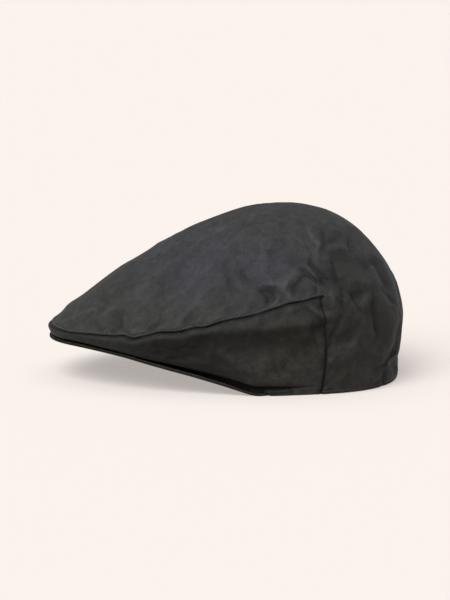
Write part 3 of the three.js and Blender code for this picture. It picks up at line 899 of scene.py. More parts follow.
# %% A closed shell from cells
def closed_shell(outer, inner, cells, ring):
    """Corners and faces of a closed shell over the chosen cells. A ring's last column meets its first."""
    columns, rows = outer.shape[:2]
    number = np.arange(columns * rows).reshape(columns, rows)
    if ring:
        number = np.vstack([number, number[:1]])
        if cells[:, 0].any():
            number[:, 0] = number[0, 0]
    offset = columns * rows
    here = np.argwhere(cells)
    c, r = here[:, 0], here[:, 1]
    quad = np.stack([number[c, r], number[c, r + 1], number[c + 1, r + 1], number[c + 1, r]], 1)
    faces = [quad, quad[:, ::-1] + offset]

    def held(dc, dr):
        cc = (c + dc) % cells.shape[0] if ring else c + dc
        rr = r + dr
        inside = (cc >= 0) & (cc < cells.shape[0]) & (rr >= 0) & (rr < cells.shape[1])
        return inside & cells[np.clip(cc, 0, cells.shape[0] - 1), np.clip(rr, 0, cells.shape[1] - 1)]

    sides = (
        (0, -1, (0, 0), (1, 0)), (0, 1, (1, 1), (0, 1)),
        (-1, 0, (0, 1), (0, 0)), (1, 0, (1, 0), (1, 1)))
    for dc, dr, first, second in sides:
        open_side = ~held(dc, dr)
        if dr == -1 and ring:
            open_side &= r > 0
        a = number[c[open_side] + first[0], r[open_side] + first[1]]
        b = number[c[open_side] + second[0], r[open_side] + second[1]]
        faces.append(np.stack([a, b, b + offset, a + offset], 1))
    faces = np.vstack(faces)
    corners = np.concatenate([outer.reshape(-1, 3), inner.reshape(-1, 3)])
    used, renumbered = np.unique(faces, return_inverse=True)
    return corners[used], renumbered.reshape(faces.shape), used % offset


one_cell = closed_shell(np.zeros((2, 2, 3)), np.ones((2, 2, 3)), np.ones((1, 1), bool), False)
print("a shell over one cell has", len(one_cell[1]), "faces")

# %% A mesh piece from corners and faces
def make_piece(name, corners, faces, notes, uv):
    """A mesh piece in the part's frame, from millimetres in the head's frame."""
    placed = (corners + np.array([0, FORWARD_SHIFT, 0])) * MM
    placed[:, 2] = np.maximum(placed[:, 2], 0)
    lists = []
    for face in faces.tolist():
        short = list(dict.fromkeys(face))
        if len(short) > 2:
            lists.append(short)
    mesh = bpy.data.meshes.new(name)
    mesh.from_pydata(placed.tolist(), [], lists)
    mesh.validate()
    layer = mesh.uv_layers.new(name="cloth")
    corner_of = np.empty(len(mesh.loops), int)
    mesh.loops.foreach_get("vertex_index", corner_of)
    layer.data.foreach_set("uv", (uv[corner_of] * MM).ravel())
    for note, values in notes.items():
        mesh.attributes.new(note, "FLOAT", "POINT").data.foreach_set("value", values.astype(np.float32))
    mesh.shade_smooth()
    piece = bpy.data.objects.new(name, mesh)
    bpy.context.scene.collection.objects.link(piece)
    print(name, len(mesh.vertices), "corners,", sum(len(f) - 2 for f in lists), "triangles")
    return piece


def turned_under(distance, radius):
    """How far a rounded edge lies below the cloth's face at a distance from the edge."""
    inside = np.clip(radius - distance, 0, radius)
    return radius - np.sqrt(np.maximum(radius**2 - inside**2, 0))


print("an edge of 0.5 mm turns under by", turned_under(np.array([0.0, 0.25]), 0.5).round(2).tolist())

# %% [markdown]
# ## The cloth's thickness and the raised seam
# The front of this cap is single cloth and the back is doubled at the hem and darts, as the solids are.
# Above the seam the turned-in edge lies under the crown and lifts it a little for the first 6 mm, and the
# row of thread pulls a fine groove into it. The crown then drops into the seam, and the panel comes up
# out of it. At the temple seam both pieces sink in. A bump map could draw all this, but a real step
# throws a real shadow.

# %% Thickness and relief
FLANGE_THIN = 0.45
APEX_SPREAD = (0, 40)
CROWN_EDGE_ROUND = 0.55
ROUND_LIMIT = 0.46
ALLOWANCE_LIFT = 0.22
ALLOWANCE_END = (4.5, 7.0)
APEX_CLOTH = 1.8
THREAD_ROW = 1.5
THREAD_WIDTH = 0.5
THREAD_PULL = 0.14
HEM_THREAD = 2.6
HEM_THREAD_WIDTH = 0.6
HEM_PULL = 0.18
TEMPLE_SINK = 0.6
TEMPLE_SINK_WIDTH = 0.8


def tape_across(column):
    """Distance along each row from one column, measured round the cap."""
    steps = np.linalg.norm(np.diff(np.concatenate([cloth, cloth[:1]]), axis=0), axis=2)
    run = np.concatenate([np.zeros((1, ROWS)), np.cumsum(steps, axis=0)])
    away = np.abs(run[:-1] - run[column])
    return np.minimum(away, run[-1] - away)


from_temple = np.minimum(tape_across(TEMPLE_COLUMN), tape_across(COLUMNS - TEMPLE_COLUMN))
from_nose = tape_across(0)
section_cloth = section(angle_grid, "cloth")
thickness = APEX_CLOTH + (section_cloth - APEX_CLOTH) * smoothstep(tape_marks, *APEX_SPREAD)
thickness = thickness * (1 - FLANGE_THIN * in_front * smoothstep(row_values, ROLL_ROW - 1, ROLL_ROW))
edge_radius = np.minimum(CROWN_EDGE_ROUND, ROUND_LIMIT * thickness)
crown_edge = np.hypot(above_seam, np.where(in_front, 0, from_temple))
crown_edge = np.where(~in_front & (below_seam > 0), from_temple, crown_edge)
allowance = ALLOWANCE_LIFT * (1 - smoothstep(crown_edge, *ALLOWANCE_END))
pull = THREAD_PULL * np.exp(-(((crown_edge - THREAD_ROW) / THREAD_WIDTH) ** 2))
hem_pull = HEM_PULL * np.exp(-(((from_rim - HEM_THREAD) / HEM_THREAD_WIDTH) ** 2)) * (1 - lying)
temple_sink = TEMPLE_SINK * np.exp(-((from_temple / TEMPLE_SINK_WIDTH) ** 2)) * (below_seam > 0)
crown_relief = allowance - pull - hem_pull - temple_sink
print("cloth is", thickness.min().round(2), "to", thickness.max().round(2), "mm thick")

# %% Skins, and what the finish is told
FOLD_NOTE = 2.0
RELIEF_NOTE = 0.2
SEAM_SHADE_WIDTH = 1.1


def skins(relief, edges, radius):
    """Outer and inner skin, with every edge in the list turned under."""
    rolled = np.zeros_like(relief)
    for distance in edges:
        rolled = np.maximum(rolled, turned_under(distance, radius))
    outer = cloth + cloth_out * (relief - rolled)[..., None]
    inner = cloth - cloth_out * (thickness - rolled)[..., None]
    return outer, inner


def notes_for(relief, height):
    """How far each point stands out of the cloth: the material paints ridges pale with wear and a
    highlight, and hollows dark with painted shade.
    """
    return np.clip(height / FOLD_NOTE + RELIEF_NOTE * relief, -1, 1)


def shade_near(*distances):
    """Painted shade along a seam: 1 in it, and fading away from it."""
    return np.exp(-((np.minimum.reduce(distances) / SEAM_SHADE_WIDTH) ** 2))


def drawn_to(points, target, distance):
    """Points moved towards others by a fixed distance."""
    way = target - points
    return points + way / np.maximum(np.linalg.norm(way, axis=-1, keepdims=True), TINY) * distance


# The tape's place on the flat cloth, for the weave: round the top in rings, down the walls in strips
plan_edge = edge_point(ANGLES)
plan_turn = np.arctan2(plan_edge[:, 0], APEX[1] - plan_edge[:, 1])[:, None]
crown_uv = np.stack([tape_marks * np.sin(plan_turn), tape_marks * np.cos(plan_turn)], -1)
arc_of_angle = np.sign(angle_grid) * np.interp(np.abs(angle_grid), FINE_ANGLES, EDGE_ARC)
wall_uv = np.stack([arc_of_angle, -below_seam], -1)
print("the flat crown is", round(np.ptp(crown_uv[:, SEAM_INDEX, 0])), "mm across")

# %% [markdown]
# ## The crown
# One piece of cloth covers the top and runs on down the back to the rim. Its lower edge in front, and its
# two upright edges at the temples, turn under into the seams. It could be cut out of a dome with
# booleans, but as cells of the shared grid its edges lie exactly on the panels' edges.

# %% Crown cloth
CROWN_SHADE = 0.75
FAR_AWAY = 99
WALL_UV_SHIFT = 400

cell_column = np.arange(COLUMNS)[:, None]
cell_row = np.arange(ROWS - 1)[None]
cell_behind = (cell_column >= TEMPLE_COLUMN) & (cell_column < COLUMNS - TEMPLE_COLUMN)
crown_cells = (cell_row < SEAM_INDEX) | cell_behind
from_rim_behind = np.where(in_front, FAR_AWAY, from_rim)
crown_outer, crown_inner = skins(crown_relief, [crown_edge, from_rim_behind], edge_radius)
crown_corners, crown_faces, crown_from = closed_shell(crown_outer, crown_inner, crown_cells, True)
# The crown's shade note is painted shade along its seams.
crown_notes = {
    "stands": notes_for(crown_relief, fine_height).ravel()[crown_from],
    "shade": shade_near(CROWN_SHADE * crown_edge).ravel()[crown_from],
}
on_top = ((row_values <= SEAM_ROW) | in_front)[..., None]
top_uv = np.where(on_top, crown_uv, wall_uv + WALL_UV_SHIFT).reshape(-1, 2)[crown_from]
crown = make_piece("crown_cloth", crown_corners, crown_faces, crown_notes, top_uv)
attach(crown, "root")
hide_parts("crown")

# %% [markdown]
# ## Painted light and shade on the side panels
# A panel isn't one colour here. It carries painted shade: black inside the roll, darker under the ledge,
# along its seams and toward the nose below the seam. It is paler low down near the temples, a painted
# light. All that could be painted into a texture. Here each share is worked out from where a point lies,
# and is passed on with it.

# %% Notes for the side panels
HEM_PAINTED_LIGHT = 0.7
HEM_PAINTED_LIGHT_TO = (12, 32)
HEM_PAINTED_LIGHT_FROM = (-25, 0)
HEM_BAND_FROM = (86, 93)
HEM_BAND_ROWS = (TUCK_ROW - 0.4, TUCK_ROW + 0.3)
RECESS_ROWS = (ROLL_ROW + 0.05, ROLL_ROW + 0.3)
RECESS_END = (92, 101)
LEDGE_PAINTED_SHADE = 0.34
LEDGE_DROP = (-1, 4)
LEDGE_FROM = (-25, 45)
LEDGE_LOW = (14, 28)
NOSE_PAINTED_SHADE = 0.6
NOSE_FROM = (0, 50)
NOSE_BELOW = (2.0, 6.0)
NOSE_TIP_SHARE = 0.35
NOSE_TIP_FROM = (80, 120)
PANEL_SHADE = 0.5

plain_y, plain_z = plain[..., 1], plain[..., 2]
away_from_nose = np.abs(angle_grid)
# Painted light: the panel is paler low down near the temples and behind them.
hem_painted_light = HEM_PAINTED_LIGHT * (1 - smoothstep(plain_z, *HEM_PAINTED_LIGHT_TO)) * smoothstep(plain_y, *HEM_PAINTED_LIGHT_FROM)
hem_band = smoothstep(away_from_nose, *HEM_BAND_FROM) * smoothstep(row_values, *HEM_BAND_ROWS)
# Painted shade: black inside the roll above the peak, but not on the hem band.
recess_painted_shade = smoothstep(row_values, *RECESS_ROWS) * (1 - hem_band)
recess_painted_shade = recess_painted_shade * (1 - smoothstep(away_from_nose, *RECESS_END))
# Painted shade below the ledge's drop, where the cloth faces down.
under_ledge = smoothstep(along(LEDGE, "y", "z", plain_y) - plain_z, *LEDGE_DROP)
under_ledge = under_ledge * smoothstep(-plain_y, *LEDGE_FROM) * smoothstep(plain_z, *LEDGE_LOW)
# Painted shade on the panel's front part, a few millimetres below the seam and lower, less at the nose
# tip.
nose_painted_shade = NOSE_PAINTED_SHADE * smoothstep(-plain_y, *NOSE_FROM)
nose_painted_shade = nose_painted_shade * (1 - NOSE_TIP_SHARE * smoothstep(-plain_y, *NOSE_TIP_FROM))
nose_painted_shade = nose_painted_shade * smoothstep(below_seam, *NOSE_BELOW)
# Painted shade along the panel's seams.
seam_shade = shade_near(PANEL_SHADE * below_seam, PANEL_SHADE * from_temple, from_nose)
panel_shade = np.maximum.reduce([seam_shade, recess_painted_shade, LEDGE_PAINTED_SHADE * under_ledge, nose_painted_shade])
print("shaded share of the grid:", (panel_shade > LEDGE_PAINTED_SHADE).mean().round(2))

# %% [markdown]
# ## The side panels
# A wedge of cloth on each side, from the centre seam at the nose to the temple seam. It lies a little
# lower than the crown at the seam between them, so the crown's edge throws a thin dark line on it, which
# painted shade deepens, and it sinks in at the temple seam. One function cuts both panels out of the grid,
# and the rim stays square over the peak, where it is sewn in.

# %% Side panel cloth
PANEL_SINK = 0.7
PANEL_SINK_REACH = 2.5
PANEL_GAP = 0.1
END_GAP = 0.02
INWARD = 3

panel_relief = -PANEL_SINK * np.exp(-below_seam / PANEL_SINK_REACH) - hem_pull - temple_sink
# The panel's stands note also carries the painted light low down near the temples.
panel_stands = notes_for(panel_relief, fine_height) + hem_painted_light
free_rim = np.where(away_from_nose < HEM_ANGLES[1], FAR_AWAY, from_rim)
panel_skins = skins(panel_relief, [below_seam, from_temple, from_nose, free_rim], edge_radius)


def side_panel(name, node, first, last):
    """One side panel over a run of columns, its borders drawn in a little from its neighbours."""
    order = np.arange(first, last + 1) % COLUMNS
    parts = []
    for skin in panel_skins:
        part = skin[order][:, SEAM_INDEX:].copy()
        part[:, 0] = drawn_to(part[:, 0], part[:, INWARD], PANEL_GAP)
        part[0] = drawn_to(part[0], part[INWARD], END_GAP)
        part[-1] = drawn_to(part[-1], part[-1 - INWARD], END_GAP)
        parts.append(part)
    cells = np.ones((len(order) - 1, parts[0].shape[1] - 1), bool)
    corners, faces, source = closed_shell(parts[0], parts[1], cells, False)
    pick = (order[:, None] * ROWS + np.arange(SEAM_INDEX, ROWS)[None]).ravel()[source]
    notes = {"stands": panel_stands.ravel()[pick], "shade": panel_shade.ravel()[pick]}
    piece = make_piece(name, corners, faces, notes, wall_uv.reshape(-1, 2)[pick])
    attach(piece, "root")
    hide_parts(node)
    return piece


left_panel = side_panel("side_cloth_left", "side_panel_left", 0, TEMPLE_COLUMN)
right_panel = side_panel("side_cloth_right", "side_panel_right", COLUMNS - TEMPLE_COLUMN, COLUMNS)

# %% [markdown]
# ## The peak
# A stiff board covered in the same cloth. It is a crescent between the peak's oval and the rim's, sloping
# down from the nose to the temples, and its edge is a full round where the cover folds over the board.
# It ends where the solid does, 18 of the solid's 22 steps from the nose to the temple. A bevelled curve
# could sweep it, but a grid between the two ovals gives the crescent its true width everywhere.

# %% The peak's grid
PEAK_STEPS_HELD = 18
PEAK_STEPS_ROUND = 22
PEAK_END = TEMPLE_SEAM * PEAK_STEPS_HELD / PEAK_STEPS_ROUND
PEAK_NEAR = np.array([0, 0.1, 0.25, 0.5, 0.85, 1.3, 1.9, 2.6, 3.6, 5.0])
PEAK_REST = 19

peak_angles = ANGLES[np.abs(ANGLES) <= PEAK_END]
peak_angles = np.unique(np.concatenate([peak_angles, [-PEAK_END, PEAK_END]]))
peak_gap = on_oval(PEAK_OVAL, peak_angles) - on_oval(RIM_OVAL, peak_angles)
peak_depth = np.linalg.norm(peak_gap, axis=1)
near_share = PEAK_NEAR[None] / peak_depth[:, None]
rest_share = near_share[:, -1:] + (1 - near_share[:, -1:]) * np.linspace(0, 1, PEAK_REST)[None, 1:]
peak_shares = np.hstack([near_share, rest_share])
peak_grid = np.repeat(peak_angles[:, None], peak_shares.shape[1], 1)
peak_top = over_peak(peak_grid, peak_shares, 0)
peak_low = peak_top.copy()
peak_low[..., 2] = peak_underside(peak_top[..., 1])
in_from_edge = peak_shares * peak_depth[:, None]
in_from_rim = (1 - peak_shares) * peak_depth[:, None]
end_run = np.linalg.norm(np.diff(peak_top, axis=0), axis=2)
run = np.concatenate([np.zeros((1, end_run.shape[1])), np.cumsum(end_run, axis=0)])
from_end = np.minimum(run, run[-1] - run)
print("the peak is", peak_depth.max().round(1), "mm deep at the nose")

# %% Peak cloth
PEAK_ROUND = 0.95
PEAK_THREAD_ROW = 1.5
PEAK_THREAD_PULL = 0.16
PEAK_WAVE = dict(size=9, seed=31)
PEAK_WAVE_HEIGHT = 0.05
PEAK_WAVE_FROM = (0, 3)
PEAK_WORN = 0.3
PEAK_WORN_WIDTH = 1.2
PEAK_LEVEL = 0.2
PEAK_PAINTED_SHADE = 0.9
PEAK_PAINTED_SHADE_FROM = (2.5, 6.0)

peak_roll = np.maximum.reduce([
    turned_under(distance, PEAK_ROUND) for distance in (in_from_edge, from_end, in_from_rim)])
peak_thread = PEAK_THREAD_PULL * np.exp(-(((in_from_edge - PEAK_THREAD_ROW) / THREAD_WIDTH) ** 2))
peak_wave = PEAK_WAVE_HEIGHT * unevenness(peak_top, **PEAK_WAVE)
peak_wave = peak_wave * smoothstep(in_from_edge, *PEAK_WAVE_FROM) * (peak_roll == 0)
peak_top[..., 2] -= peak_roll + peak_thread - peak_wave
peak_low[..., 2] += peak_roll + peak_thread
peak_cells = np.ones((len(peak_angles) - 1, peak_shares.shape[1] - 1), bool)
peak_corners, peak_faces, peak_from = closed_shell(peak_top, peak_low, peak_cells, False)
peak_arc = np.interp(np.abs(peak_grid), FINE_ANGLES, EDGE_ARC) * np.sign(peak_grid)
peak_uv = np.stack([peak_arc, in_from_edge], -1).reshape(-1, 2)[peak_from]
# The peak's note: wear at its edge, and below zero further in, which adds a faint painted shade.
peak_stands = np.exp(-in_from_edge / PEAK_WORN_WIDTH) * PEAK_WORN - PEAK_LEVEL
# Painted shade on the peak inward of its edge, on top and underside alike.
peak_painted_shade = PEAK_PAINTED_SHADE * smoothstep(in_from_edge, *PEAK_PAINTED_SHADE_FROM)
peak_notes = {"stands": peak_stands.ravel()[peak_from], "shade": peak_painted_shade.ravel()[peak_from]}
peak = make_piece("peak_cloth", peak_corners, peak_faces[:, ::-1], peak_notes, peak_uv)
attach(peak, "root")
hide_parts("peak")

# %% [markdown]
# ## Stitches
# Rows of thread hold the seams: one above the crown's seam, one along the hem and one round the peak on
# each face. A dotted texture could stand for them, but small lengths of thread that dip into
# the cloth at both ends catch the light as real ones do. One short stitch is made once, then laid along
# each row at a fixed pitch and joined into one mesh.

# %% One stitch
STITCH_LENGTH = 1.25
THREAD_RADIUS = 0.14
ROUND = 6
STITCH_RINGS = 5
TAPER_REACH = 0.93
TIP_SHARE = 0.02
HUMP_TOP = 0.75
HUMP_DROP = 1.3


def one_stitch():
    """Rings of points of one stitch along +X, humped in the middle, its ends in the cloth."""
    along_share = np.linspace(-1, 1, STITCH_RINGS)
    spin = np.linspace(0, 2 * np.pi, ROUND, endpoint=False)
    thick = THREAD_RADIUS * np.sqrt(np.maximum(1 - (along_share * TAPER_REACH) ** 4, TIP_SHARE))
    hump = THREAD_RADIUS * (HUMP_TOP - HUMP_DROP * along_share**2)
    rings = np.stack([
        np.repeat(along_share[:, None] * STITCH_LENGTH / 2, ROUND, 1),
        thick[:, None] * np.cos(spin)[None],
        hump[:, None] + thick[:, None] * np.sin(spin)[None]], -1)
    faces = []
    for k in range(STITCH_RINGS - 1):
        for j in range(ROUND):
            n = (j + 1) % ROUND
            faces.append([k * ROUND + j, k * ROUND + n, (k + 1) * ROUND + n, (k + 1) * ROUND + j])
    last_ring = (STITCH_RINGS - 1) * ROUND
    faces.append(list(range(ROUND))[::-1])
    faces.append([last_ring + j for j in range(ROUND)])
    return rings.reshape(-1, 3), faces


print("one stitch has", len(one_stitch()[1]), "faces")

# %% Sewing a row
STITCH_PITCH = 2.1
LOWEST_STITCH = 0.6
AIM_STEP = 0.6
STITCH_LEAN = 0.07


def resample(line, out, pitch):
    """Points a pitch apart along a line, with their outward directions and ways along."""
    steps = np.linalg.norm(np.diff(line, axis=0), axis=1)
    run = np.concatenate([[0], np.cumsum(steps)])
    marks = np.arange(pitch / 2, run[-1] - pitch / 3, pitch)

    def at(places, values):
        return np.stack([np.interp(places, run, values[:, k]) for k in range(3)], 1)

    outs = at(marks, out)
    ways = at(marks + AIM_STEP, line) - at(marks - AIM_STEP, line)
    ways /= np.maximum(np.linalg.norm(ways, axis=1, keepdims=True), TINY)
    outs -= (outs * ways).sum(axis=1, keepdims=True) * ways
    outs /= np.maximum(np.linalg.norm(outs, axis=1, keepdims=True), TINY)
    return at(marks, line), outs, ways


def sew(name, rows, seed, pitch=STITCH_PITCH):
    """One mesh of stitches over several rows of points."""
    rng = np.random.default_rng(seed)
    shape, stitch_faces = one_stitch()
    corners, faces, shades = [], [], []
    count = 0
    for line, out in rows:
        for spot, up, way in zip(*resample(np.asarray(line), np.asarray(out), pitch)):
            if spot[2] < LOWEST_STITCH:
                continue
            across = np.cross(up, way)
            lean = rng.normal(0, STITCH_LEAN)
            turned = way * math.cos(lean) + across * math.sin(lean)
            side = np.cross(up, turned)
            base = len(shape) * count
            corners.append(spot + shape[:, :1] * turned + shape[:, 1:2] * side + shape[:, 2:] * up)
            faces += [[base + n for n in face] for face in stitch_faces]
            shades.append(np.full(len(shape), rng.uniform(-1, 1)))
            count += 1
    placed = (np.vstack(corners) + np.array([0, FORWARD_SHIFT, 0])) * MM
    mesh = bpy.data.meshes.new(name)
    mesh.from_pydata(placed.tolist(), [], faces)
    note = mesh.attributes.new("stands", "FLOAT", "POINT")
    note.data.foreach_set("value", np.concatenate(shades).astype(np.float32))
    mesh.shade_smooth()
    piece = bpy.data.objects.new(name, mesh)
    bpy.context.scene.collection.objects.link(piece)
    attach(piece, "root")
    print(name, count, "stitches")
    return piece


print("stitches", STITCH_PITCH, "mm apart, thread", 2 * THREAD_RADIUS, "mm thick")

# %% Rows of stitches on the crown
CROWN_THREAD_SEED = 41


def row_at(skin, distance_grid, distance, columns, rows):
    """For each column, the point of a skin where a distance first reaches a value along its rows."""
    line, out = [], []
    for c in columns:
        marks = distance_grid[c, rows]
        order = np.argsort(marks)
        line.append([np.interp(distance, marks[order], skin[c, rows, k][order]) for k in range(3)])
        out.append([np.interp(distance, marks[order], cloth_out[c, rows, k][order]) for k in range(3)])
    return np.array(line), np.array(out)


rows_above = np.arange(SEAM_INDEX - len(NEAR_SEAM) + 1, SEAM_INDEX + 1)
front_ring = np.arange(-TEMPLE_COLUMN, TEMPLE_COLUMN + 1) % COLUMNS
seam_row = row_at(crown_outer, above_seam, THREAD_ROW, front_ring, rows_above)
hem_columns = np.arange(TEMPLE_COLUMN + 2, COLUMNS - TEMPLE_COLUMN - 1)
rim_rows = np.arange(ROWS - len(NEAR_RIM), ROWS)
hem_row = row_at(crown_outer, from_rim, HEM_THREAD, hem_columns, rim_rows)
crown_stitches = sew("crown_stitches", [seam_row, hem_row], CROWN_THREAD_SEED)

# %% Rows of stitches on the peak
PEAK_PITCH = 1.8
PEAK_STITCH_END = 82
PEAK_THREAD_SEED = 42

stitched = np.flatnonzero(np.abs(peak_angles) < PEAK_STITCH_END)
peak_up = np.tile([0.0, 0.0, 1.0], (len(stitched), 1))


def peak_row(face):
    """The line of thread on one face of the peak."""
    line = []
    for c in stitched:
        line.append([np.interp(PEAK_THREAD_ROW, in_from_edge[c], face[c, :, k]) for k in range(3)])
    return np.array(line)


peak_rows = [(peak_row(peak_top), peak_up), (peak_row(peak_low), -peak_up)]
peak_stitches = sew("peak_stitches", peak_rows, PEAK_THREAD_SEED, PEAK_PITCH)

# %% [markdown]
# ## Waxed cotton
# The cloth is a close plain weave soaked in wax: dark charcoal, bluer over the upper crown, a painted
# tint for the bluish light from above, and olive elsewhere, with a soft sheen, pale dust on the ridges
# and a few specks of lint. Each of those is one small step in the material: the painted top light and
# blotches mix the two colours, mottling, grain and weave change the shade and bump the surface, and the
# notes that each point carries lighten the ridges with wear and a painted highlight, and darken the
# hollows, seams and the roll with painted shade. A photograph of cloth could be laid on instead, but
# nodes have no seams and no repeats.

# %% Nodes of the waxed cotton
def add(tree, kind, inputs=None, **settings):
    """A node with its settings and its unlinked inputs."""
    node = tree.nodes.new(kind)
    for name, value in settings.items():
        setattr(node, name, value)
    for name, value in (inputs or {}).items():
        if isinstance(value, bpy.types.NodeSocket):
            tree.links.new(value, node.inputs[name])
        else:
            node.inputs[name].default_value = value
    return node


def number(tree, operation, first, second):
    """One step of arithmetic on two sockets or values."""
    return add(tree, "ShaderNodeMath", {0: first, 1: second}, operation=operation).outputs[0]


def spread(tree, value, low, high, to_low, to_high):
    """A value stretched from one range to another, kept inside it."""
    node = add(tree, "ShaderNodeMapRange", {
        "Value": value, "From Min": low, "From Max": high, "To Min": to_low, "To Max": to_high})
    return node.outputs["Result"]


def mixed(tree, share, first, second):
    """Two colours mixed by a share."""
    node = tree.nodes.new("ShaderNodeMix")
    node.data_type = "RGBA"
    node.clamp_factor = True
    for name, value in (("Factor", share), ("A", first), ("B", second)):
        socket = [s for s in node.inputs if s.name == name and s.enabled][0]
        if isinstance(value, bpy.types.NodeSocket):
            tree.links.new(value, socket)
        else:
            socket.default_value = value
    return [s for s in node.outputs if s.enabled][0]


def noise(tree, where, scale, detail, rough=0.5, warp=0.0):
    """Soft noise at a place."""
    return add(tree, "ShaderNodeTexNoise", {
        "Vector": where, "Scale": scale, "Detail": detail, "Roughness": rough,
        "Distortion": warp}).outputs["Fac"]


print("node helpers:", [helper.__name__ for helper in (add, number, spread, mixed, noise)])

# %% Where the painted bluish top light falls
TOP_LIGHT_HEIGHT = (0.05, 0.085)
TOP_LIGHT_UPPER = (0.122, 0.095)
TOP_SHARE = 0.2
TOP_LIGHT_ENDS = ((-0.09, -0.035), (0.085, 0.05))
TOP_LIGHT_BLOTCHES = (0.5, 1)


def painted_top_light(tree, place, blotches):
    """How much painted bluish top light a place gets: most on the upper middle of the crown, from height
    and length, broken up by blotches.
    """
    spot = add(tree, "ShaderNodeSeparateXYZ", {"Vector": place})
    top_light = spread(tree, spot.outputs["Z"], *TOP_LIGHT_HEIGHT, 0, 1)
    top = spread(tree, spot.outputs["Z"], *TOP_LIGHT_UPPER, TOP_SHARE, 1)
    top_light = number(tree, "MULTIPLY", top_light, top)
    for low, high in TOP_LIGHT_ENDS:
        top_light = number(tree, "MULTIPLY", top_light, spread(tree, spot.outputs["Y"], low, high, 0, 1))
    return number(tree, "MULTIPLY", top_light, spread(tree, blotches, 0, 1, *TOP_LIGHT_BLOTCHES))


# The height where the painted bluish top light begins.
print("the wax thins out from", round(TOP_LIGHT_HEIGHT[0] / MM), "mm above the floor")

# %% Weave, and the cloth's light and dark
WEAVE_SCALE = 290
WEAVE_PERIOD = 2 * math.pi / (20 * WEAVE_SCALE)
PATCHES = (60, 3, 0.6, 0.8)
SOFT_RANGE = (0.35, 0.65)
MIDDLE_RANGE = (0.3, 0.7)
WIDE_RANGE = (0.25, 0.75)
MOTTLING_TONE = (0.57, 1.43)
GRAIN_TONE = (0.66, 1.34)
WEAVE_TONE = (0.88, 1.1)
PATCH_TONE = (0.9, 1.1)


def plain_weave(tree):
    """Warp crossed with weft, in the flat cloth's own measure."""
    flat = add(tree, "ShaderNodeUVMap", uv_map="cloth").outputs["UV"]
    threads = []
    for direction in ("X", "Y"):
        threads.append(add(tree, "ShaderNodeTexWave", {
            "Vector": flat, "Scale": WEAVE_SCALE, "Distortion": 1.2, "Detail": 1.0,
            "Detail Scale": 2.0}, wave_type="BANDS", bands_direction=direction).outputs["Fac"])
    return number(tree, "MULTIPLY", *threads)


def cloth_tone(tree, place, mottling, grain, weave):
    """Light and dark of the cloth, as one factor around 1."""
    patches = noise(tree, place, *PATCHES)
    tone = spread(tree, mottling, *MIDDLE_RANGE, *MOTTLING_TONE)
    tone = number(tree, "MULTIPLY", tone, spread(tree, grain, *WIDE_RANGE, *GRAIN_TONE))
    tone = number(tree, "MULTIPLY", tone, spread(tree, weave, 0, 1, *WEAVE_TONE))
    return number(tree, "MULTIPLY", tone, spread(tree, patches, *SOFT_RANGE, *PATCH_TONE))


print("the weave repeats every", round(WEAVE_PERIOD / MM, 2), "mm")

# %% Wear, painted highlight, painted shade and lint
WORN_HIGHLIGHT_FROM = (0.1, 0.9)
WORN_HIGHLIGHT_MOST = 0.26
WORN_HIGHLIGHT_PATCHES = (0.3, 1)
DUST_AND_HIGHLIGHT_COLOUR = (0.07, 0.069, 0.065, 1)
HOLLOW_FROM = (-0.9, -0.05)
HOLLOW_PAINTED_SHADE = 0.44
SHADE_DARK = 0.93
PAINTED_SHADE_COLOUR = (0.002, 0.002, 0.002, 1)
LINT_SCALE = 640.0
LINT_FROM = 0.87
LINT_SIZE = (0.1, 0.28)
LINT_SHARE = 0.24
LINT_COLOUR = (0.12, 0.117, 0.108, 1)


def wear_highlight_and_shade(tree, colour, mottling):
    """Ridges pale with wear and a painted highlight, and painted shade in hollows, seams and the roll, by
    the notes on each point.
    """
    stands = add(tree, "ShaderNodeAttribute", attribute_name="stands").outputs["Fac"]
    shade = add(tree, "ShaderNodeAttribute", attribute_name="shade").outputs["Fac"]
    # Ridges mixed toward a pale colour: partly dust and wear, partly a painted highlight.
    worn_highlight = spread(tree, stands, *WORN_HIGHLIGHT_FROM, 0, WORN_HIGHLIGHT_MOST)
    worn_highlight = number(tree, "MULTIPLY", worn_highlight, spread(tree, mottling, *SOFT_RANGE, *WORN_HIGHLIGHT_PATCHES))
    dusted_and_highlit = mixed(tree, worn_highlight, colour, DUST_AND_HIGHLIGHT_COLOUR)
    # Painted shade: hollows, seams and the roll are mixed toward near black.
    hollow_shade = spread(tree, stands, *HOLLOW_FROM, HOLLOW_PAINTED_SHADE, 0)
    dark = number(tree, "MAXIMUM", hollow_shade, number(tree, "MULTIPLY", shade, SHADE_DARK))
    return mixed(tree, dark, dusted_and_highlit, PAINTED_SHADE_COLOUR)


def with_lint(tree, place, colour):
    """A few pale specks: the middles of some cells of a fine cell pattern."""
    cells = add(tree, "ShaderNodeTexVoronoi", {
        "Vector": place, "Scale": LINT_SCALE, "Randomness": 1.0})
    parts = add(tree, "ShaderNodeSeparateColor", {"Color": cells.outputs["Color"]})
    pale_cell = number(tree, "GREATER_THAN", parts.outputs[0], LINT_FROM)
    speck = spread(tree, cells.outputs["Distance"], *LINT_SIZE, LINT_SHARE, 0)
    return mixed(tree, number(tree, "MULTIPLY", speck, pale_cell), colour, LINT_COLOUR)


print("lint lies in about", round(1 - LINT_FROM, 2), "of the cells")

# %% The waxed cotton itself
BLOTCHES = (26, 3, 0.55, 0.6)
MOTTLING = (170, 6, 0.68, 0.3)
GRAIN = (1500, 3, 0.6)
ROUGH_BY_MOTTLING = (-0.07, 0.09)
ROUGH_BY_BLOTCHES = (0.04, -0.04)
SHEEN_ROUGHNESS = 0.45
SHEEN_TINT = (0.86, 0.9, 1.0, 1)
MOTTLING_BUMP = (0.7, 0.0009)
GRAIN_BUMP = (0.7, 0.00025)
WEAVE_BUMP = (0.6, 0.0001)
CROWN_BLUE = (0.0182, 0.0174, 0.0215, 1)
CROWN_OLIVE = (0.0157, 0.0154, 0.0126, 1)
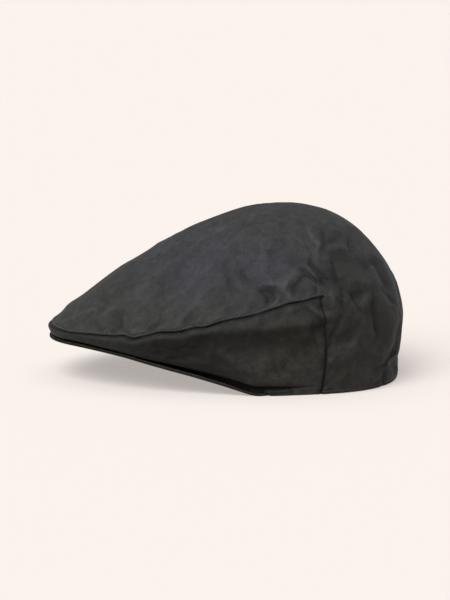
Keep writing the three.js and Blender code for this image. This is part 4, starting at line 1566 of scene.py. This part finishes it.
# The side panels' colours are a darker copy of the crown's: painted shade for sides that face away from
# the light above.
SIDE_SHADED_BLUE = (0.0122, 0.0118, 0.0116, 1)
SIDE_SHADED_OLIVE = (0.0123, 0.0121, 0.0096, 1)
PEAK_BLUE = (0.0135, 0.0127, 0.0102, 1)
PEAK_OLIVE = (0.014, 0.013, 0.0098, 1)


def bumped(tree, shader, steps):
    """Bump from several heights, each laid over the one before."""
    last = None
    for height, (strength, distance) in steps:
        bump = add(tree, "ShaderNodeBump", {
            "Strength": strength, "Distance": distance, "Height": height})
        if last is not None:
            tree.links.new(last.outputs[0], bump.inputs["Normal"])
        last = bump
    tree.links.new(last.outputs[0], shader.inputs["Normal"])


def waxed_cotton(name, blue, olive, roughness, gloss, fuzz):
    """Waxed cotton cloth: painted bluish top light, blotches, mottling, grain, weave, ridges worn pale
    with a painted highlight, painted shade and lint.
    """
    material = bpy.data.materials.new(name)
    material.use_nodes = True
    tree = material.node_tree
    shader = tree.nodes["Principled BSDF"]
    place = tree.nodes.new("ShaderNodeTexCoord").outputs["Object"]
    blotches = spread(tree, noise(tree, place, *BLOTCHES), *SOFT_RANGE, 0, 1)
    mottling = noise(tree, place, *MOTTLING)
    grain = noise(tree, place, *GRAIN)
    weave = plain_weave(tree)
    # Olive mixed toward blue by the painted top light.
    tint_with_top_light = mixed(tree, painted_top_light(tree, place, blotches), olive, blue)
    toned = add(tree, "ShaderNodeVectorMath", {0: tint_with_top_light}, operation="SCALE")
    tree.links.new(cloth_tone(tree, place, mottling, grain, weave), toned.inputs["Scale"])
    colour = wear_highlight_and_shade(tree, toned.outputs["Vector"], mottling)
    tree.links.new(with_lint(tree, place, colour), shader.inputs["Base Color"])
    smooth, coarse = (roughness + change for change in ROUGH_BY_MOTTLING)
    rough = spread(tree, mottling, *MIDDLE_RANGE, smooth, coarse)
    rough = number(tree, "ADD", rough, spread(tree, blotches, 0, 1, *ROUGH_BY_BLOTCHES))
    tree.links.new(rough, shader.inputs["Roughness"])
    shader.inputs["Specular IOR Level"].default_value = gloss
    shader.inputs["Sheen Weight"].default_value = fuzz
    shader.inputs["Sheen Roughness"].default_value = SHEEN_ROUGHNESS
    shader.inputs["Sheen Tint"].default_value = SHEEN_TINT
    bumped(tree, shader, [(mottling, MOTTLING_BUMP), (grain, GRAIN_BUMP), (weave, WEAVE_BUMP)])
    return material


crown_cotton = waxed_cotton(
    "crown_waxed_cotton", CROWN_BLUE, CROWN_OLIVE, roughness=0.7, gloss=0.14, fuzz=0.04)
# The side panels get the darker, painted-shade copy of the cloth.
shaded_side_cotton = waxed_cotton(
    "side_waxed_cotton_painted_shade", SIDE_SHADED_BLUE, SIDE_SHADED_OLIVE, roughness=0.7, gloss=0.12, fuzz=0.04)
peak_cotton = waxed_cotton(
    "peak_waxed_cotton", PEAK_BLUE, PEAK_OLIVE, roughness=0.8, gloss=0.03, fuzz=0.0)
crown.data.materials.append(crown_cotton)
left_panel.data.materials.append(shaded_side_cotton)
right_panel.data.materials.append(shaded_side_cotton)
peak.data.materials.append(peak_cotton)
print("cloths:", [m.name for m in (crown_cotton, shaded_side_cotton, peak_cotton)])

# %% [markdown]
# ## The thread
# The thread is olive charcoal, a little paler than the cloth, so the rows show as fine dots. No two
# stitches take the light alike, so each has its own shade between a dark and a light one, and a fine
# noise stands for the twist of the thread. A single flat colour would look printed on.

# %% Thread of the stitches
THREAD_DARK = (0.02, 0.0195, 0.015, 1)
THREAD_LIGHT = (0.1, 0.096, 0.072, 1)
THREAD_SHADES = (0.1, 1)
TWIST_SCALE = 2400.0
TWIST_SHADES = (0.6, 1)
TWIST_BUMP = (0.5, 0.0001)
THREAD_ROUGHNESS = 0.6
THREAD_FUZZ = 0.2


def sewing_thread(name, dark, light):
    """Thread whose stitches differ a little in shade, with a fine twist in the bump."""
    material = bpy.data.materials.new(name)
    material.use_nodes = True
    tree = material.node_tree
    shader = tree.nodes["Principled BSDF"]
    place = tree.nodes.new("ShaderNodeTexCoord").outputs["Object"]
    shade = add(tree, "ShaderNodeAttribute", attribute_name="stands").outputs["Fac"]
    twist = add(tree, "ShaderNodeTexNoise", {
        "Vector": place, "Scale": TWIST_SCALE, "Detail": 2.0}).outputs["Fac"]
    share = spread(tree, shade, -1, 1, *THREAD_SHADES)
    share = number(tree, "MULTIPLY", share, spread(tree, twist, *MIDDLE_RANGE, *TWIST_SHADES))
    tree.links.new(mixed(tree, share, dark, light), shader.inputs["Base Color"])
    shader.inputs["Roughness"].default_value = THREAD_ROUGHNESS
    shader.inputs["Sheen Weight"].default_value = THREAD_FUZZ
    bumped(tree, shader, [(twist, TWIST_BUMP)])
    return material


thread = sewing_thread("olive_charcoal_thread", THREAD_DARK, THREAD_LIGHT)
crown_stitches.data.materials.append(thread)
peak_stitches.data.materials.append(thread)
print("materials:", [m.name for m in bpy.data.materials])

# %% [markdown]
# ## The floor
# The cap stands on a pale floor that runs back for 300 m, so that no edge shows behind the cap. The
# floor glows a little, like a light table, which keeps the cap's shadow faint. A curved backdrop
# would do the same, but a flat floor looks right from any side.

# %% Pale floor
FLOOR_COLOUR = (0.27, 0.2483, 0.223, 1)
FLOOR_GLOW = (0.4299, 0.3949, 0.3756, 1)
FLOOR_ROUGHNESS = 0.9
FLOOR_HALF = 300.0

floor_mesh = bpy.data.meshes.new("floor")
floor_corners = [(-FLOOR_HALF, -FLOOR_HALF, 0), (FLOOR_HALF, -FLOOR_HALF, 0),
                 (FLOOR_HALF, FLOOR_HALF, 0), (-FLOOR_HALF, FLOOR_HALF, 0)]
floor_mesh.from_pydata(floor_corners, [], [(0, 1, 2, 3)])
floor = bpy.data.objects.new("floor", floor_mesh)
bpy.context.scene.collection.objects.link(floor)
paper = bpy.data.materials.new("pale_paper")
paper.use_nodes = True
paper_shader = paper.node_tree.nodes["Principled BSDF"]
paper_shader.inputs["Base Color"].default_value = FLOOR_COLOUR
paper_shader.inputs["Roughness"].default_value = FLOOR_ROUGHNESS
paper_shader.inputs["Specular IOR Level"].default_value = 0.0
paper_shader.inputs["Emission Color"].default_value = FLOOR_GLOW
paper_shader.inputs["Emission Strength"].default_value = 1.0
floor_mesh.materials.append(paper)
print("floor:", round(2 * FLOOR_HALF), "m square")

# %% [markdown]
# ## The light
# One broad soft light comes from above, a little in front and on the camera's side, and a second,
# broader one straight from above. The room adds a dim glow, and close to the horizon it is as pale as
# the floor, so that the two meet without a line. Area lamps would fade with distance and leave
# a spot on the floor, so both lights are suns with a wide angle.

# %% Room and soft lights
HORIZON_COLOUR = (0.965, 0.896, 0.84, 1)
ROOM_COLOUR = (0.24, 0.25, 0.27, 1)
HORIZON_RISE = 0.05
KEY_STRENGTH = 5.6
KEY_FROM = (0.76, -0.42, 0.88)
KEY_WIDTH = 42
OVERHEAD_STRENGTH = 1.75
OVERHEAD_FROM = (0.0, -0.1, 1.0)
OVERHEAD_WIDTH = 80
SOFTBOX_COLOUR = (0.96, 0.962, 1.0)

world = bpy.data.worlds.new("pale_room")
bpy.context.scene.world = world
world.use_nodes = True
room = world.node_tree
sky_way = room.nodes.new("ShaderNodeTexCoord").outputs["Generated"]
height = add(room, "ShaderNodeSeparateXYZ", {"Vector": sky_way}).outputs["Z"]
up_share = spread(room, height, 0.0, HORIZON_RISE, 0, 1)
room_glow = mixed(room, up_share, HORIZON_COLOUR, ROOM_COLOUR)
room.links.new(room_glow, room.nodes["Background"].inputs["Color"])


def soft_light(name, strength, source, width_deg, colour):
    """A broad light from one direction, the same all over the floor."""
    lamp = bpy.data.lights.new(name, "SUN")
    lamp.energy = strength
    lamp.angle = math.radians(width_deg)
    lamp.color = colour
    holder = bpy.data.objects.new(name, lamp)
    holder.rotation_mode = "QUATERNION"
    holder.rotation_quaternion = (-Vector(source)).to_track_quat("-Z", "Y")
    bpy.context.scene.collection.objects.link(holder)
    return holder


soft_light("key_softbox", KEY_STRENGTH, KEY_FROM, KEY_WIDTH, SOFTBOX_COLOUR)
soft_light("overhead_softbox", OVERHEAD_STRENGTH, OVERHEAD_FROM, OVERHEAD_WIDTH, SOFTBOX_COLOUR)
print("two soft lights, widths", KEY_WIDTH, "and", OVERHEAD_WIDTH, "degrees")

# %% [markdown]
# ## The camera
# The camera looks at the wearer's left side from a little above the floor. It stands 1.4 m away with a
# long lens, so the near and the far side of the cap keep nearly the same size.

# %% Camera
LENS = 111.7
CAMERA_AZIMUTH = 91.0
CAMERA_HEIGHT = 9.0
CAMERA_DISTANCE = 1.4
LOOK_AT = Vector((0, 0, 0.0555))

turn = math.radians(CAMERA_AZIMUTH)
rise = math.radians(CAMERA_HEIGHT)
level = math.cos(rise)
back_way = Vector((math.sin(turn) * level, -math.cos(turn) * level, math.sin(rise)))
camera_data = bpy.data.cameras.new("camera")
camera_data.lens = LENS
camera_data.sensor_width = 36.0
camera_data.clip_start = 0.05
camera_data.clip_end = 100.0
camera = bpy.data.objects.new("camera", camera_data)
camera.location = LOOK_AT + back_way * CAMERA_DISTANCE
camera.rotation_mode = "QUATERNION"
camera.rotation_quaternion = (-back_way).to_track_quat("-Z", "Y")
bpy.context.scene.collection.objects.link(camera)
bpy.context.scene.camera = camera
bpy.context.scene.view_settings.view_transform = "Standard"
print("camera at", [round(v, 3) for v in camera.location])

# %% [markdown]
# ## The end
# The dressed cap may stand a little proud of the solids, but not be a different size.

# %% The end
bpy.context.view_layer.update()
